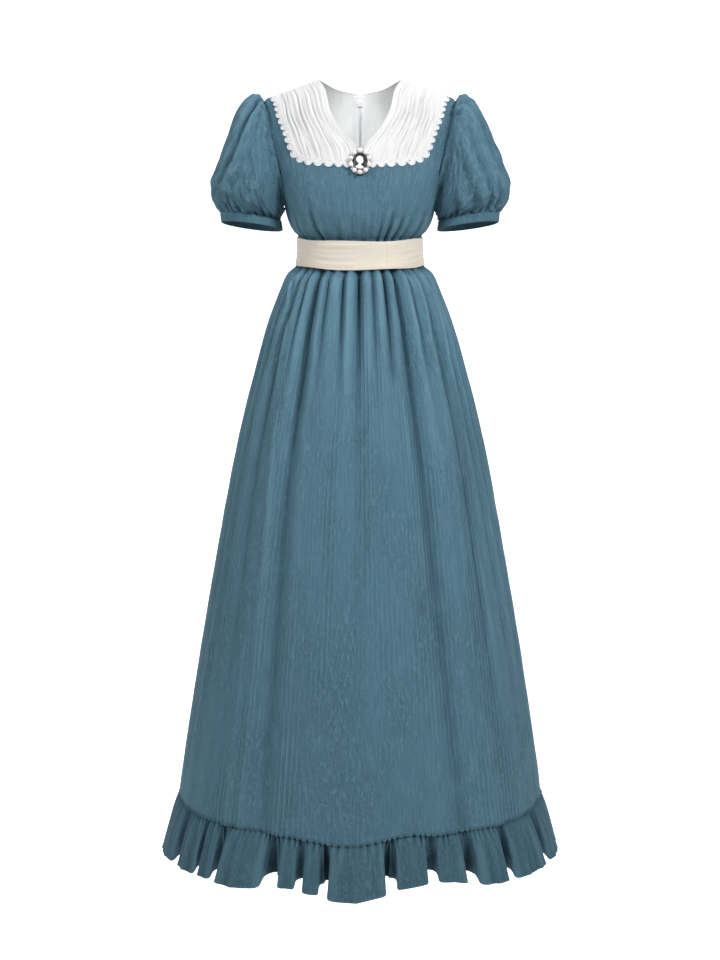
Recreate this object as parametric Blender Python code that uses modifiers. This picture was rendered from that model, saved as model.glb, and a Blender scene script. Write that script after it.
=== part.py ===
"""Regency style maxi dress, filled out as worn, with nobody in it.

Metres, +Z up, front towards -Y. The origin is on the centre line, level with the two points
where the neck edge meets the shoulder seams, because the wearer's shoulders hold the dress up.

A place on the dress is given by a turn and a level. The turn is an angle in degrees round the
upright axis: 0 is the centre front, 90 the wearer's left side (+X), 180 the centre back. The
level is a height before the waist and hem dip a little at the front.
"""

import math
from collections import namedtuple

import bmesh
import bpy
from mathutils import Matrix, Vector

# Cloth and seams
CLOTH = 0.0015
CHIFFON = 0.0012
LACE_CLOTH = 0.0010
SASH_CLOTH = 0.0018
CUFF_CLOTH = 0.0020
SEAM_GAP = 0.0003
FACING_GAP = 0.0005
CENTRE_BACK_HALF_GAP = 0.0005

# Heights
WAIST_SEAM = -0.2990
SASH_TOP = -0.2750
SASH_BOTTOM = -0.3235
HEM_SEAM = -1.2900
RUFFLE_HEIGHT = 0.1000
BUST_LEVEL = -0.2150
BLADE_LEVEL = -0.1600
ARMPIT = -0.2220
FRONT_SIDE_TURN = 90.0
BACK_SIDE_TURN = 90.001
SIDE_SEAM_TURN = 90.0
CENTRE_BACK_TURN = 180.0
DIP_SHARPNESS = 1.5
TURN_STEP = 0.5
LEVEL_STEP = 0.002
EDGE_STEP = 0.01

# Shoulders
NECK_HALF_WIDTH = 0.0720
SHOULDER_HALF_WIDTH = 0.1650
SHOULDER_SLOPE = 0.3750
SHOULDER_SOFTNESS = 0.0300
RIDGE_Y = 0.0050
CHEST_ROUNDING = 1.60
BACK_ROUNDING = 1.80

# The form under the cloth, ring by ring
Ring = namedtuple("Ring", "level half_width front back squareness")
RINGS = [
    Ring(0.030, 0.1840, 0.1120, 0.0900, 2.50),
    Ring(-0.033, 0.1830, 0.1120, 0.0900, 2.50),
    Ring(-0.060, 0.1760, 0.1120, 0.0905, 2.50),
    Ring(-0.090, 0.1685, 0.1130, 0.0915, 2.50),
    Ring(-0.125, 0.1590, 0.1140, 0.0920, 2.50),
    Ring(-0.160, 0.1500, 0.1160, 0.0925, 2.50),
    Ring(-0.190, 0.1420, 0.1175, 0.0920, 2.45),
    Ring(-0.222, 0.1340, 0.1170, 0.0910, 2.40),
    Ring(-0.240, 0.1300, 0.1130, 0.0900, 2.35),
    Ring(-0.255, 0.1240, 0.1060, 0.0880, 2.30),
    Ring(-0.266, 0.1160, 0.0975, 0.0850, 2.25),
    Ring(-0.2725, 0.1093, 0.0910, 0.0820, 2.25),
    Ring(-0.299, 0.1090, 0.0895, 0.0810, 2.25),
    Ring(-0.3235, 0.1120, 0.0925, 0.0840, 2.20),
    Ring(-0.340, 0.1285, 0.1060, 0.0980, 2.15),
    Ring(-0.372, 0.1430, 0.1190, 0.1110, 2.10),
    Ring(-0.422, 0.1628, 0.1360, 0.1280, 2.05),
    Ring(-0.493, 0.1838, 0.1540, 0.1480, 2.00),
    Ring(-0.637, 0.2199, 0.1840, 0.1780, 2.00),
    Ring(-0.857, 0.2615, 0.2180, 0.2130, 2.00),
    Ring(-1.080, 0.2994, 0.2480, 0.2440, 2.00),
    Ring(-1.290, 0.3310, 0.2720, 0.2680, 2.00),
    Ring(-1.400, 0.3430, 0.2800, 0.2760, 2.00),
]

# How far the cloth hangs lower at the centre front than at the sides
Dip = namedtuple("Dip", "level drop")
DIPS = [
    Dip(0.030, 0.0000),
    Dip(-0.200, 0.0000),
    Dip(-0.275, 0.0035),
    Dip(-0.3235, 0.0040),
    Dip(-0.600, 0.0040),
    Dip(-1.290, 0.0070),
    Dip(-1.400, 0.0000),
]

# The armhole, from the shoulder seam (share 0) to the armpit (share 1)
ArmholePoint = namedtuple("ArmholePoint", "share turn level")
ARMHOLE = [
    ArmholePoint(0.000, 61.5, -0.0330),
    ArmholePoint(0.080, 60.2, -0.0505),
    ArmholePoint(0.250, 59.1, -0.0865),
    ArmholePoint(0.445, 59.9, -0.1295),
    ArmholePoint(0.610, 63.1, -0.1655),
    ArmholePoint(0.725, 67.1, -0.1900),
    ArmholePoint(0.820, 72.7, -0.2080),
    ArmholePoint(0.900, 80.0, -0.2180),
    ArmholePoint(1.000, 90.0, -0.2220),
]

# The line where white yoke meets blue bodice, from the shoulder seam to the centre
EdgePoint = namedtuple("EdgePoint", "share x level")
FRONT_YOKE_EDGE = [
    EdgePoint(0.00, 0.1490, -0.0277),
    EdgePoint(0.10, 0.1400, -0.0430),
    EdgePoint(0.22, 0.1345, -0.0640),
    EdgePoint(0.36, 0.1240, -0.0880),
    EdgePoint(0.48, 0.1165, -0.1110),
    EdgePoint(0.58, 0.1070, -0.1300),
    EdgePoint(0.68, 0.0870, -0.1375),
    EdgePoint(0.84, 0.0400, -0.1405),
    EdgePoint(1.00, 0.0000, -0.1420),
]
BACK_YOKE_EDGE = [
    EdgePoint(0.00, 0.1490, -0.0277),
    EdgePoint(0.10, 0.1400, -0.0430),
    EdgePoint(0.22, 0.1360, -0.0630),
    EdgePoint(0.36, 0.1300, -0.0860),
    EdgePoint(0.48, 0.1230, -0.1080),
    EdgePoint(0.58, 0.1120, -0.1260),
    EdgePoint(0.68, 0.0910, -0.1330),
    EdgePoint(0.84, 0.0420, -0.1350),
    EdgePoint(1.00, 0.0000, -0.1360),
]
YOKE_CORNER = 0.58

# The neck edge, from the shoulder seam to the centre line and down it to the yoke edge
FRONT_NECK_EDGE = [
    EdgePoint(0.00, 0.0720, 0.0000),
    EdgePoint(0.18, 0.0600, -0.0200),
    EdgePoint(0.38, 0.0530, -0.0500),
    EdgePoint(0.56, 0.0415, -0.0735),
    EdgePoint(0.70, 0.0290, -0.0900),
    EdgePoint(0.92, 0.0005, -0.1280),
    EdgePoint(1.00, 0.0005, -0.1417),
]
BACK_NECK_EDGE = [
    EdgePoint(0.00, 0.0720, 0.0000),
    EdgePoint(0.20, 0.0400, -0.0165),
    EdgePoint(0.40, 0.0014, -0.0270),
    EdgePoint(0.56, 0.0014, -0.0460),
    EdgePoint(0.70, 0.0006, -0.0700),
    EdgePoint(1.00, 0.0006, -0.1357),
]

# Skirt gathers and folds. Each row is a valley, from the waist to the hem, with its depths.
Fold = namedtuple("Fold", "turn_top turn_hem width depth_top depth_mid depth_hem")
FRONT_SKIRT_FOLDS = [
    Fold(-77.0, -76.0, 4.5, 0.0050, 0.0050, 0.0040),
    Fold(-68.0, -66.0, 4.5, 0.0060, 0.0050, 0.0040),
    Fold(-55.0, -52.0, 4.5, 0.0080, 0.0070, 0.0030),
    Fold(-45.0, -43.0, 4.0, 0.0040, 0.0020, 0.0020),
    Fold(-35.5, -32.0, 6.0, 0.0110, 0.0130, 0.0080),
    Fold(-24.0, -21.0, 4.0, 0.0040, 0.0020, 0.0020),
    Fold(-12.0, -10.0, 4.5, 0.0060, 0.0020, 0.0020),
    Fold(-0.5, -2.5, 5.5, 0.0110, 0.0080, 0.0020),
    Fold(9.0, 8.0, 4.0, 0.0040, 0.0020, 0.0030),
    Fold(18.4, 17.0, 4.5, 0.0080, 0.0025, 0.0020),
    Fold(28.7, 33.6, 6.0, 0.0110, 0.0120, 0.0090),
    Fold(40.0, 43.0, 4.0, 0.0040, 0.0020, 0.0020),
    Fold(53.0, 53.0, 4.5, 0.0080, 0.0060, 0.0030),
    Fold(68.0, 66.0, 4.5, 0.0070, 0.0060, 0.0040),
    Fold(77.0, 77.0, 4.5, 0.0050, 0.0050, 0.0040),
]
BACK_SKIRT_FOLDS = [
    Fold(102.5, 103.0, 4.5, 0.0050, 0.0050, 0.0040),
    Fold(112.0, 115.0, 5.0, 0.0080, 0.0080, 0.0050),
    Fold(125.0, 128.0, 4.5, 0.0060, 0.0030, 0.0020),
    Fold(138.0, 141.0, 6.0, 0.0100, 0.0120, 0.0070),
    Fold(150.0, 153.0, 4.5, 0.0060, 0.0030, 0.0020),
    Fold(164.0, 165.0, 5.0, 0.0090, 0.0080, 0.0060),
    Fold(197.0, 194.0, 5.0, 0.0080, 0.0080, 0.0050),
    Fold(209.0, 206.0, 4.5, 0.0060, 0.0030, 0.0020),
    Fold(222.0, 219.0, 6.0, 0.0100, 0.0110, 0.0080),
    Fold(235.0, 232.0, 4.5, 0.0060, 0.0040, 0.0020),
    Fold(248.0, 245.0, 5.0, 0.0080, 0.0080, 0.0050),
    Fold(257.5, 257.0, 4.5, 0.0050, 0.0050, 0.0040),
]
FOLD_MID_LEVEL = -0.60
GATHER_AT_WAIST = 0.35
SKIRT_LEVELS = [-0.3235, -0.3380, -0.3600, -0.4100, -0.4900, -0.6100, -0.7700, -0.9500, -1.1300]
SKIRT_COLUMNS = 46

# Bodice folds that rise from the sash
BodiceFold = namedtuple("BodiceFold", "turn_waist turn_top top_level depth width")
BODICE_FOLDS = [
    BodiceFold(-78.0, -72.0, -0.195, 0.0050, 6.0),
    BodiceFold(-60.0, -56.0, -0.215, 0.0045, 5.0),
    BodiceFold(-34.0, -36.0, -0.185, 0.0050, 6.0),
    BodiceFold(-15.0, -16.0, -0.225, 0.0030, 5.0),
    BodiceFold(2.0, 1.0, -0.200, 0.0030, 6.0),
    BodiceFold(16.0, 18.0, -0.175, 0.0045, 5.5),
    BodiceFold(31.0, 38.0, -0.190, 0.0055, 5.5),
    BodiceFold(50.0, 56.0, -0.185, 0.0060, 5.5),
    BodiceFold(72.0, 75.0, -0.200, 0.0050, 6.0),
    BodiceFold(104.0, 106.0, -0.200, 0.0045, 6.0),
    BodiceFold(122.0, 124.0, -0.220, 0.0040, 5.5),
    BodiceFold(141.0, 142.0, -0.200, 0.0050, 5.5),
    BodiceFold(158.0, 158.0, -0.230, 0.0035, 5.0),
    BodiceFold(202.0, 202.0, -0.225, 0.0035, 5.0),
    BodiceFold(220.0, 219.0, -0.195, 0.0050, 5.5),
    BodiceFold(238.0, 236.0, -0.220, 0.0040, 5.5),
    BodiceFold(256.0, 254.0, -0.200, 0.0045, 6.0),
]
FOLD_SPREAD = 0.7
FOLD_UNDER_SASH = 1.6
BODICE_LOW_LEVELS = [-0.29885, -0.2735, -0.2660, -0.2540, -0.2390, -0.2220]
BODICE_ARMHOLE_ROWS = 4
STRAP_COLUMNS = 3
BODICE_MIDDLE_COLUMNS = 12
CORNER_ON_ARMHOLE = 0.54

# Rows of the straps and yokes, as shares of the way down from the shoulder line
SHOULDER_ROWS = [0.0, 0.0012, 0.030, 0.105, 0.230, 0.410, 0.600, 0.800, 1.0]

# Hem ruffle. Each row is one outward wave: its crest, the valley after it and its depth.
Wave = namedtuple("Wave", "crest valley depth")
FRONT_WAVES = [
    Wave(-78.0, -66.7, 0.012),
    Wave(-60.5, -54.3, 0.011),
    Wave(-50.6, -47.0, 0.010),
    Wave(-38.0, -26.5, 0.015),
    Wave(-21.5, -17.5, 0.010),
    Wave(-14.4, -11.0, 0.010),
    Wave(-1.0, 9.2, 0.016),
    Wave(15.2, 21.6, 0.013),
    Wave(27.7, 34.8, 0.013),
    Wave(41.3, 47.8, 0.013),
    Wave(58.0, 69.0, 0.014),
    Wave(79.0, 90.0, 0.012),
]
BACK_WAVES = [
    Wave(99.0, 107.0, 0.012),
    Wave(114.0, 121.0, 0.014),
    Wave(129.0, 137.0, 0.014),
    Wave(143.0, 149.0, 0.012),
    Wave(157.0, 165.0, 0.015),
    Wave(173.0, 181.0, 0.015),
    Wave(187.0, 193.0, 0.012),
    Wave(201.0, 209.0, 0.014),
    Wave(217.0, 225.0, 0.015),
    Wave(231.0, 238.0, 0.012),
    Wave(246.0, 254.0, 0.014),
    Wave(262.0, 269.999, 0.012),
]
RUFFLE_FLARE = 0.0110
RUFFLE_BULGE = 0.085
RUFFLE_OPENING = 0.7
RUFFLE_STEPS = 6
RUFFLE_SHARES = [1.0, 0.72, 0.42, 0.16, 0.0]

# Puff sleeve of the wearer's left side, ring by ring from the armhole to the cuff
Puff = namedtuple("Puff", "outer_x outer_z inner_x inner_z front back tilt gather")
PUFF_RINGS = [
    Puff(0.1745, -0.0275, 0.1345, -0.2245, 0.0600, 0.0600, 0.0000, 0.30),
    Puff(0.1850, -0.0258, 0.1350, -0.2265, 0.0680, 0.0680, 0.0000, 0.40),
    Puff(0.1990, -0.0345, 0.1358, -0.2290, 0.0760, 0.0750, 0.0010, 0.20),
    Puff(0.2135, -0.0530, 0.1366, -0.2320, 0.0820, 0.0800, 0.0020, 0.00),
    Puff(0.2260, -0.0830, 0.1374, -0.2350, 0.0850, 0.0840, 0.0030, 0.00),
    Puff(0.2400, -0.1170, 0.1382, -0.2380, 0.0860, 0.0860, 0.0040, 0.00),
    Puff(0.2535, -0.1490, 0.1390, -0.2405, 0.0850, 0.0860, 0.0050, 0.10),
    Puff(0.2650, -0.1800, 0.1396, -0.2425, 0.0800, 0.0830, 0.0060, 0.35),
    Puff(0.2635, -0.2030, 0.1399, -0.2440, 0.0720, 0.0750, 0.0070, 0.75),
    Puff(0.2555, -0.2220, 0.1400, -0.2452, 0.0610, 0.0630, 0.0080, 1.00),
    Puff(0.2475, -0.2325, 0.1400, -0.2460, 0.0525, 0.0530, 0.0080, 0.60),
]
CUFF_RINGS = [
    Puff(0.2465, -0.2335, 0.1396, -0.2468, 0.0515, 0.0520, 0.0080, 0.00),
    Puff(0.2450, -0.2495, 0.1374, -0.2635, 0.0510, 0.0515, 0.0080, 0.00),
]
SLEEVE_GATHER_DEPTH = 0.0040
SLEEVE_START = 0.0005

# Scalloped lace over the yoke edge
SCALLOPS = 17
SCALLOP_STEPS = 4
LACE_ON_YOKE = 0.0020
LACE_ON_BODICE = 0.0035
SCALLOP_DEPTH = 0.0040
LACE_HALF_GAP = 0.0004

YOKE_COLUMNS = 12
YOKE_PLEAT_DEPTH = 0.0020

# Sash, with its ends lapped at the centre back
SASH_START = -186.0
SASH_LAP_START = 166.0
SASH_LAP_FULL = 172.0
SASH_END = 188.0
SASH_COLUMNS = 60
SASH_ROWS = 2
SASH_CLEARANCE = 0.0008

# Zip at the centre back
ZIP_TOP = -0.0300
ZIP_BOTTOM = -0.4300
ZIP_TAPE_GAP = 0.0008
ZIP_TAPE_WIDTH = 0.0100
ZIP_TAPE_CLOTH = 0.0008
SLIDER_LEVEL = -0.0385
SLIDER_WIDTH = 0.0078
SLIDER_LENGTH = 0.0100
SLIDER_DEPTH = 0.0030
SLIDER_SUNK = 0.0042
SLIDER_NECK = 0.0016
ARCH_LENGTH = 0.0080
ARCH_TOP = 0.0038
ARCH_HOLE_LENGTH = 0.0054
ARCH_HOLE_LOW = 0.0009
ARCH_HOLE_HIGH = 0.0029
PULL_AXIS_UP = 0.0015
PULL_AXIS_OUT = 0.0019
PULL_THICKNESS = 0.0010
PULL_BAR = 0.0010
PULL_EYE_WIDTH = 0.0028
PULL_EYE_LENGTH = 0.0062

# Half the zip pull's outline, from the bar end down
PullPoint = namedtuple("PullPoint", "half_width down")
PULL_OUTLINE = [
    PullPoint(0.00200, 0.0000),
    PullPoint(0.00250, 0.0067),
    PullPoint(0.00175, 0.0092),
    PullPoint(0.00225, 0.0215),
    PullPoint(0.00100, 0.0240),
]

# Brooch at the point of the neck
BROOCH_LEVEL = -0.1434
BROOCH_STANDOFF = 0.0020
BROOCH_TRAY_DEPTH = 0.0016
BROOCH_HALF_HEIGHT = 0.0200
BROOCH_HALF_WIDTH = 0.0172
CAMEO_HALF_HEIGHT = 0.0142
CAMEO_HALF_WIDTH = 0.0108
CAMEO_RIM = 0.0012
CAMEO_FLOOR_DEPTH = 0.0012
PEARLS = 10
PEARL_RADIUS = 0.0041
PEARL_RING_HALF_HEIGHT = 0.0192
PEARL_RING_HALF_WIDTH = 0.0164
PEARL_LIFT = 0.0003
PEARL_SEGMENTS = 10
PEARL_RINGS = 5

# A bust in profile, as shares of the cameo's half height, facing the wearer's left
OutlinePoint = namedtuple("OutlinePoint", "across up")
BUST_OUTLINE = [
    OutlinePoint(0.30, -0.50),
    OutlinePoint(0.12, -0.36),
    OutlinePoint(0.14, -0.16),
    OutlinePoint(0.28, -0.12),
    OutlinePoint(0.32, 0.00),
    OutlinePoint(0.31, 0.11),
    OutlinePoint(0.38, 0.14),
    OutlinePoint(0.30, 0.28),
    OutlinePoint(0.31, 0.38),
    OutlinePoint(0.26, 0.56),
    OutlinePoint(0.08, 0.70),
    OutlinePoint(-0.16, 0.68),
    OutlinePoint(-0.36, 0.50),
    OutlinePoint(-0.42, 0.26),
    OutlinePoint(-0.30, 0.02),
    OutlinePoint(-0.14, -0.18),
    OutlinePoint(-0.26, -0.36),
    OutlinePoint(-0.46, -0.52),
    OutlinePoint(-0.34, -0.70),
    OutlinePoint(0.02, -0.80),
    OutlinePoint(0.36, -0.72),
]
BUST_DEPTH = 0.0014

# Colours of the finished pieces, as linear red, green, blue, then roughness and metallic
Finish = namedtuple("Finish", "red green blue roughness metallic")
FINISHES = {
    "blue_cloth": Finish(0.070, 0.165, 0.225, 0.80, 0.0),
    "white_chiffon": Finish(0.86, 0.86, 0.85, 0.85, 0.0),
    "white_lace": Finish(0.88, 0.88, 0.88, 0.80, 0.0),
    "cream_satin": Finish(0.83, 0.75, 0.64, 0.55, 0.0),
    "white_tape": Finish(0.85, 0.85, 0.86, 0.60, 0.0),
    "white_enamel": Finish(0.80, 0.80, 0.80, 0.35, 0.0),
    "dark_metal": Finish(0.030, 0.030, 0.035, 0.35, 0.8),
    "pearl": Finish(0.90, 0.89, 0.87, 0.18, 0.0),
    "cameo_white": Finish(0.92, 0.92, 0.90, 0.35, 0.0),
}


def clear_scene():
    """Removes every object that the file holds."""
    for obj in list(bpy.data.objects):
        bpy.data.objects.remove(obj)


def make_collection(name):
    """A new collection under the scene's own."""
    collection = bpy.data.collections.new(name)
    bpy.context.scene.collection.children.link(collection)
    return collection


def make_materials():
    """One Principled material for each finish."""
    made = {}
    for name, finish in FINISHES.items():
        material = bpy.data.materials.new(name)
        material.use_nodes = True
        shader = material.node_tree.nodes["Principled BSDF"]
        shader.inputs["Base Color"].default_value = (finish.red, finish.green, finish.blue, 1.0)
        shader.inputs["Roughness"].default_value = finish.roughness
        shader.inputs["Metallic"].default_value = finish.metallic
        made[name] = material
    return made


def ease(value):
    """A smooth step from 0 to 1, held outside that range."""
    value = min(1.0, max(0.0, value))
    return value * value * (3.0 - 2.0 * value)


def power(value, exponent):
    """A power that keeps the sign of its base."""
    return math.copysign(abs(value) ** exponent, value)


def tangent(rows, key, column, index):
    """Slope of a table's column at a row, flat at a peak, so that a curve through it never overshoots."""
    if index == 0 or index == len(rows) - 1:
        low = max(0, index - 1)
        return slope(rows, key, column, low)
    before = slope(rows, key, column, index - 1)
    after = slope(rows, key, column, index)
    if before * after <= 0.0:
        return 0.0
    return 2.0 * before * after / (before + after)


def slope(rows, key, column, index):
    """Slope of a table's column between a row and the next."""
    run = getattr(rows[index + 1], key) - getattr(rows[index], key)
    return (getattr(rows[index + 1], column) - getattr(rows[index], column)) / run


def read(rows, key, column, value):
    """A smooth curve through one column of a table, read at a value of its key column."""
    rising = getattr(rows[-1], key) > getattr(rows[0], key)
    index = 0
    while index < len(rows) - 2:
        reached = getattr(rows[index + 1], key)
        if (value <= reached) if rising else (value >= reached):
            break
        index += 1
    start, end = getattr(rows[index], key), getattr(rows[index + 1], key)
    run = end - start
    t = min(1.0, max(0.0, (value - start) / run))
    first, last = getattr(rows[index], column), getattr(rows[index + 1], column)
    out = tangent(rows, key, column, index) * run
    into = tangent(rows, key, column, index + 1) * run
    return (
        (2 * t**3 - 3 * t**2 + 1) * first
        + (t**3 - 2 * t**2 + t) * out
        + (3 * t**2 - 2 * t**3) * last
        + (t**3 - t**2) * into
    )


def ridge(x):
    """Height of the shoulder line at a distance from the centre."""
    rise = SHOULDER_SLOPE * math.hypot(NECK_HALF_WIDTH, SHOULDER_SOFTNESS)
    return rise - SHOULDER_SLOPE * math.hypot(x, SHOULDER_SOFTNESS)


def rounding(x, level, faces_back):
    """Share of the full depth that the form has reached on its way down from the shoulder line."""
    full = BLADE_LEVEL if faces_back else BUST_LEVEL
    power_used = BACK_ROUNDING if faces_back else CHEST_ROUNDING
    top = ridge(x)
    fallen = min(1.0, max(0.0, (top - level) / (top - full)))
    return (1.0 - (1.0 - fallen) ** power_used) ** (1.0 / power_used)


def dip(turn, level):
    """How far the cloth at this turn hangs below its level."""
    facing = max(0.0, math.cos(math.radians(turn)))
    return read(DIPS, "level", "drop", level) * facing**DIP_SHARPNESS


def body(turn, level):
    """A point on the smooth form, before any fold."""
    across, along = math.sin(math.radians(turn)), math.cos(math.radians(turn))
    roundness = 2.0 / read(RINGS, "level", "squareness", level)
    x = read(RINGS, "level", "half_width", level) * power(across, roundness)
    faces_back = along < 0.0
    depth = read(RINGS, "level", "back" if faces_back else "front", level)
    reach = depth * abs(along) ** roundness * rounding(x, level, faces_back)
    reach = max(reach, FACING_GAP / 2)
    y = RIDGE_Y + (reach if faces_back else -reach)
    return Vector((x, y, level - dip(turn, level)))


def turn_at(x, level, faces_back=False):
    """The turn at which the form has this x at this level."""
    share = min(1.0, abs(x) / read(RINGS, "level", "half_width", level))
    squareness = read(RINGS, "level", "squareness", level)
    turn = math.degrees(math.asin(share ** (squareness / 2.0)))
    if faces_back:
        turn = 180.0 - turn
    return math.copysign(turn, x)


def outward(turn, level):
    """Level direction that points out of the form."""
    run = body(turn + TURN_STEP, level) - body(turn - TURN_STEP, level)
    return Vector((run.y, -run.x, 0.0)).normalized()


def normal(turn, level):
    """Direction that points straight out of the form, with its slope."""
    here = body(turn, level)
    run = body(turn + TURN_STEP, level) - body(turn - TURN_STEP, level)
    top = level + LEVEL_STEP
    if level > ARMPIT:
        top = min(top, ridge(here.x))
    rise = body(turn, top) - body(turn, level - LEVEL_STEP)
    return run.cross(rise).normalized()


def bodice_fold(turn, level):
    """How far the bodice cloth is drawn in by the folds that rise from the sash."""
    pull = 0.0
    for fold in BODICE_FOLDS:
        rise = (level - SASH_TOP) / (fold.top_level - SASH_TOP)
        centre = fold.turn_waist + (fold.turn_top - fold.turn_waist) * min(1.0, max(0.0, rise))
        if rise < 0.0:
            strength = ease(1.0 + FOLD_UNDER_SASH * rise)
        else:
            strength = 1.0 - ease(rise)
        away = (turn - centre) / (fold.width * (1.0 + FOLD_SPREAD * max(0.0, rise)))
        pull += fold.depth * strength * math.exp(-away * away)
    return pull


def bodice_point(turn, level):
    """A point of the bodice's outer face."""
    wrapped = turn if turn > -SIDE_SEAM_TURN - TURN_STEP else turn + 360.0
    return body(turn, level) - outward(turn, level) * bodice_fold(wrapped, level)


def make_object(name, mesh, material, collection):
    """A shown object in the dress's collection."""
    mesh.materials.append(material)
    mesh.shade_smooth()
    obj = bpy.data.objects.new(name, mesh)
    collection.objects.link(obj)
    return obj


def grid_mesh(name, rows, closed=False, flip=False):
    """A sheet through rows of points. A point that is None leaves a hole."""
    numbers, points = {}, []
    for i, row in enumerate(rows):
        for j, point in enumerate(row):
            if point is not None:
                numbers[i, j] = len(points)
                points.append(tuple(point))
    faces = []
    columns = len(rows[0])
    for i in range(len(rows) - 1):
        for j in range(columns if closed else columns - 1):
            k = (j + 1) % columns
            corners = [(i, j), (i, k), (i + 1, k), (i + 1, j)]
            if all(corner in numbers for corner in corners):
                face = [numbers[corner] for corner in corners]
                faces.append(face[::-1] if flip else face)
    mesh = bpy.data.meshes.new(name)
    mesh.from_pydata(points, [], faces)
    return mesh


def add_cloth(name, rows, material, collection, thickness=CLOTH, closed=False, flip=False):
    """A wall of cloth: a sheet through rows of points on its outer face, thickened inwards."""
    obj = make_object(name, grid_mesh(name, rows, closed, flip), material, collection)
    wall = obj.modifiers.new("wall", "SOLIDIFY")
    wall.thickness = thickness
    wall.offset = -1.0
    return obj


def mirrored(rows):
    """The same rows of points on the wearer's other side."""
    return [[None if p is None else Vector((-p.x, p.y, p.z)) for p in row] for row in rows]


def add_pair(stem, rows, material, collection, thickness=CLOTH, closed=False, flip=False):
    """A piece on the wearer's left and its mirror image on the right."""
    add_cloth(stem + "_left", rows, material, collection, thickness, closed, flip)
    add_cloth(stem + "_right", mirrored(rows), material, collection, thickness, closed, not flip)


def spread(count):
    """Even shares from 0 to 1."""
    return [k / count for k in range(count + 1)]


def between(start, end, share):
    """A value between two values."""
    return start + (end - start) * share


def mix(start, end, share):
    """A place between two places, each a turn and a level."""
    return tuple(between(a, b, share) for a, b in zip(start, end))


def patch(left, right, bottom, top, s, t):
    """A place inside four edges. Left and right take t, bottom and top take s."""
    across = mix(left(t), right(t), s)
    along = mix(bottom(s), top(s), t)
    corners = mix(mix(left(0.0), right(0.0), s), mix(left(1.0), right(1.0), s), t)
    return tuple(a + b - c for a, b, c in zip(across, along, corners))


def armhole_place(share, faces_back):
    """Turn and level on the armhole edge, on the wearer's left."""
    turn = read(ARMHOLE, "share", "turn", share)
    level = read(ARMHOLE, "share", "level", share)
    level = min(level, ridge(body(turn, level).x))
    return (FRONT_SIDE_TURN + BACK_SIDE_TURN - turn if faces_back else turn), level


def edge_place(table, share, faces_back, aside=0.0):
    """Turn and level on a yoke or neck edge, or a distance aside from it towards the bodice."""
    low, high = max(0.0, share - EDGE_STEP), min(1.0, share + EDGE_STEP)
    run = read(table, "share", "x", high) - read(table, "share", "x", low)
    fall = read(table, "share", "level", high) - read(table, "share", "level", low)
    length = math.hypot(run, fall)
    x = read(table, "share", "x", share) - aside * fall / length
    level = read(table, "share", "level", share) + aside * run / length
    level = min(level, ridge(x))
    return turn_at(x, level, faces_back), level


def shoulder_place(x, faces_back):
    """Turn and level on the shoulder line."""
    return turn_at(x, ridge(x), faces_back), ridge(x)


def yoke_table(faces_back):
    """The yoke edge of the front or of the back."""
    return BACK_YOKE_EDGE if faces_back else FRONT_YOKE_EDGE


def bodice_top(faces_back, s):
    """The place where half a bodice's full-width rows end, at a share of the way from armhole to centre."""
    table = yoke_table(faces_back)
    strap_share = STRAP_COLUMNS / (STRAP_COLUMNS + BODICE_MIDDLE_COLUMNS)
    if s <= strap_share:
        corner = edge_place(table, YOKE_CORNER, faces_back, SEAM_GAP)
        return mix(armhole_place(CORNER_ON_ARMHOLE, faces_back), corner, s / strap_share)
    past = (s - strap_share) / (1.0 - strap_share)
    return edge_place(table, between(YOKE_CORNER, 1.0, past), faces_back, SEAM_GAP)


def low_bodice_places(faces_back):
    """Rows of places on half a bodice, from the waist up to the yoke, each from side to centre."""
    side_turn = BACK_SIDE_TURN if faces_back else FRONT_SIDE_TURN
    middle = CENTRE_BACK_TURN if faces_back else 0.0
    shares = spread(STRAP_COLUMNS + BODICE_MIDDLE_COLUMNS)
    rows = [[(between(side_turn, middle, s), level) for s in shares] for level in BODICE_LOW_LEVELS]

    def side(t):
        return armhole_place(between(1.0, CORNER_ON_ARMHOLE, t), faces_back)

    def centre(t):
        return mix((middle, ARMPIT), bodice_top(faces_back, 1.0), t)

    def low(s):
        return between(side_turn, middle, s), ARMPIT

    def top(s):
        return bodice_top(faces_back, s)

    for t in spread(BODICE_ARMHOLE_ROWS)[1:]:
        rows.append([patch(side, centre, low, top, s, t) for s in shares])
    return rows


def strap_places(faces_back):
    """Rows of places on a shoulder strap, from the yoke's lower corner up to the shoulder line."""
    table = yoke_table(faces_back)

    def armhole(t):
        return armhole_place(CORNER_ON_ARMHOLE * (1.0 - t), faces_back)

    def yoke(t):
        return edge_place(table, YOKE_CORNER * (1.0 - t), faces_back, SEAM_GAP)

    def low(s):
        return mix(armhole(0.0), yoke(0.0), s)

    def shoulder(s):
        edge_x = FRONT_YOKE_EDGE[0].x + SEAM_GAP
        return shoulder_place(between(SHOULDER_HALF_WIDTH, edge_x, s), faces_back)

    heights = [1.0 - t for t in SHOULDER_ROWS[::-1]][1:]
    return [[patch(armhole, yoke, low, shoulder, s, t) for s in spread(STRAP_COLUMNS)] for t in heights]


def half_bodice(faces_back):
    """Rows of points on half a bodice. The strap's rows stop at the yoke's side."""
    empty = [None] * BODICE_MIDDLE_COLUMNS
    low = [[bodice_point(*place) for place in row] for row in low_bodice_places(faces_back)]
    strap = [[bodice_point(*place) for place in row] + empty for row in strap_places(faces_back)]
    rows = low + strap
    if faces_back:
        for row in rows:
            if row[-1] is not None:
                row[-1] = Vector((CENTRE_BACK_HALF_GAP, row[-1].y, row[-1].z))
    return rows


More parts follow.
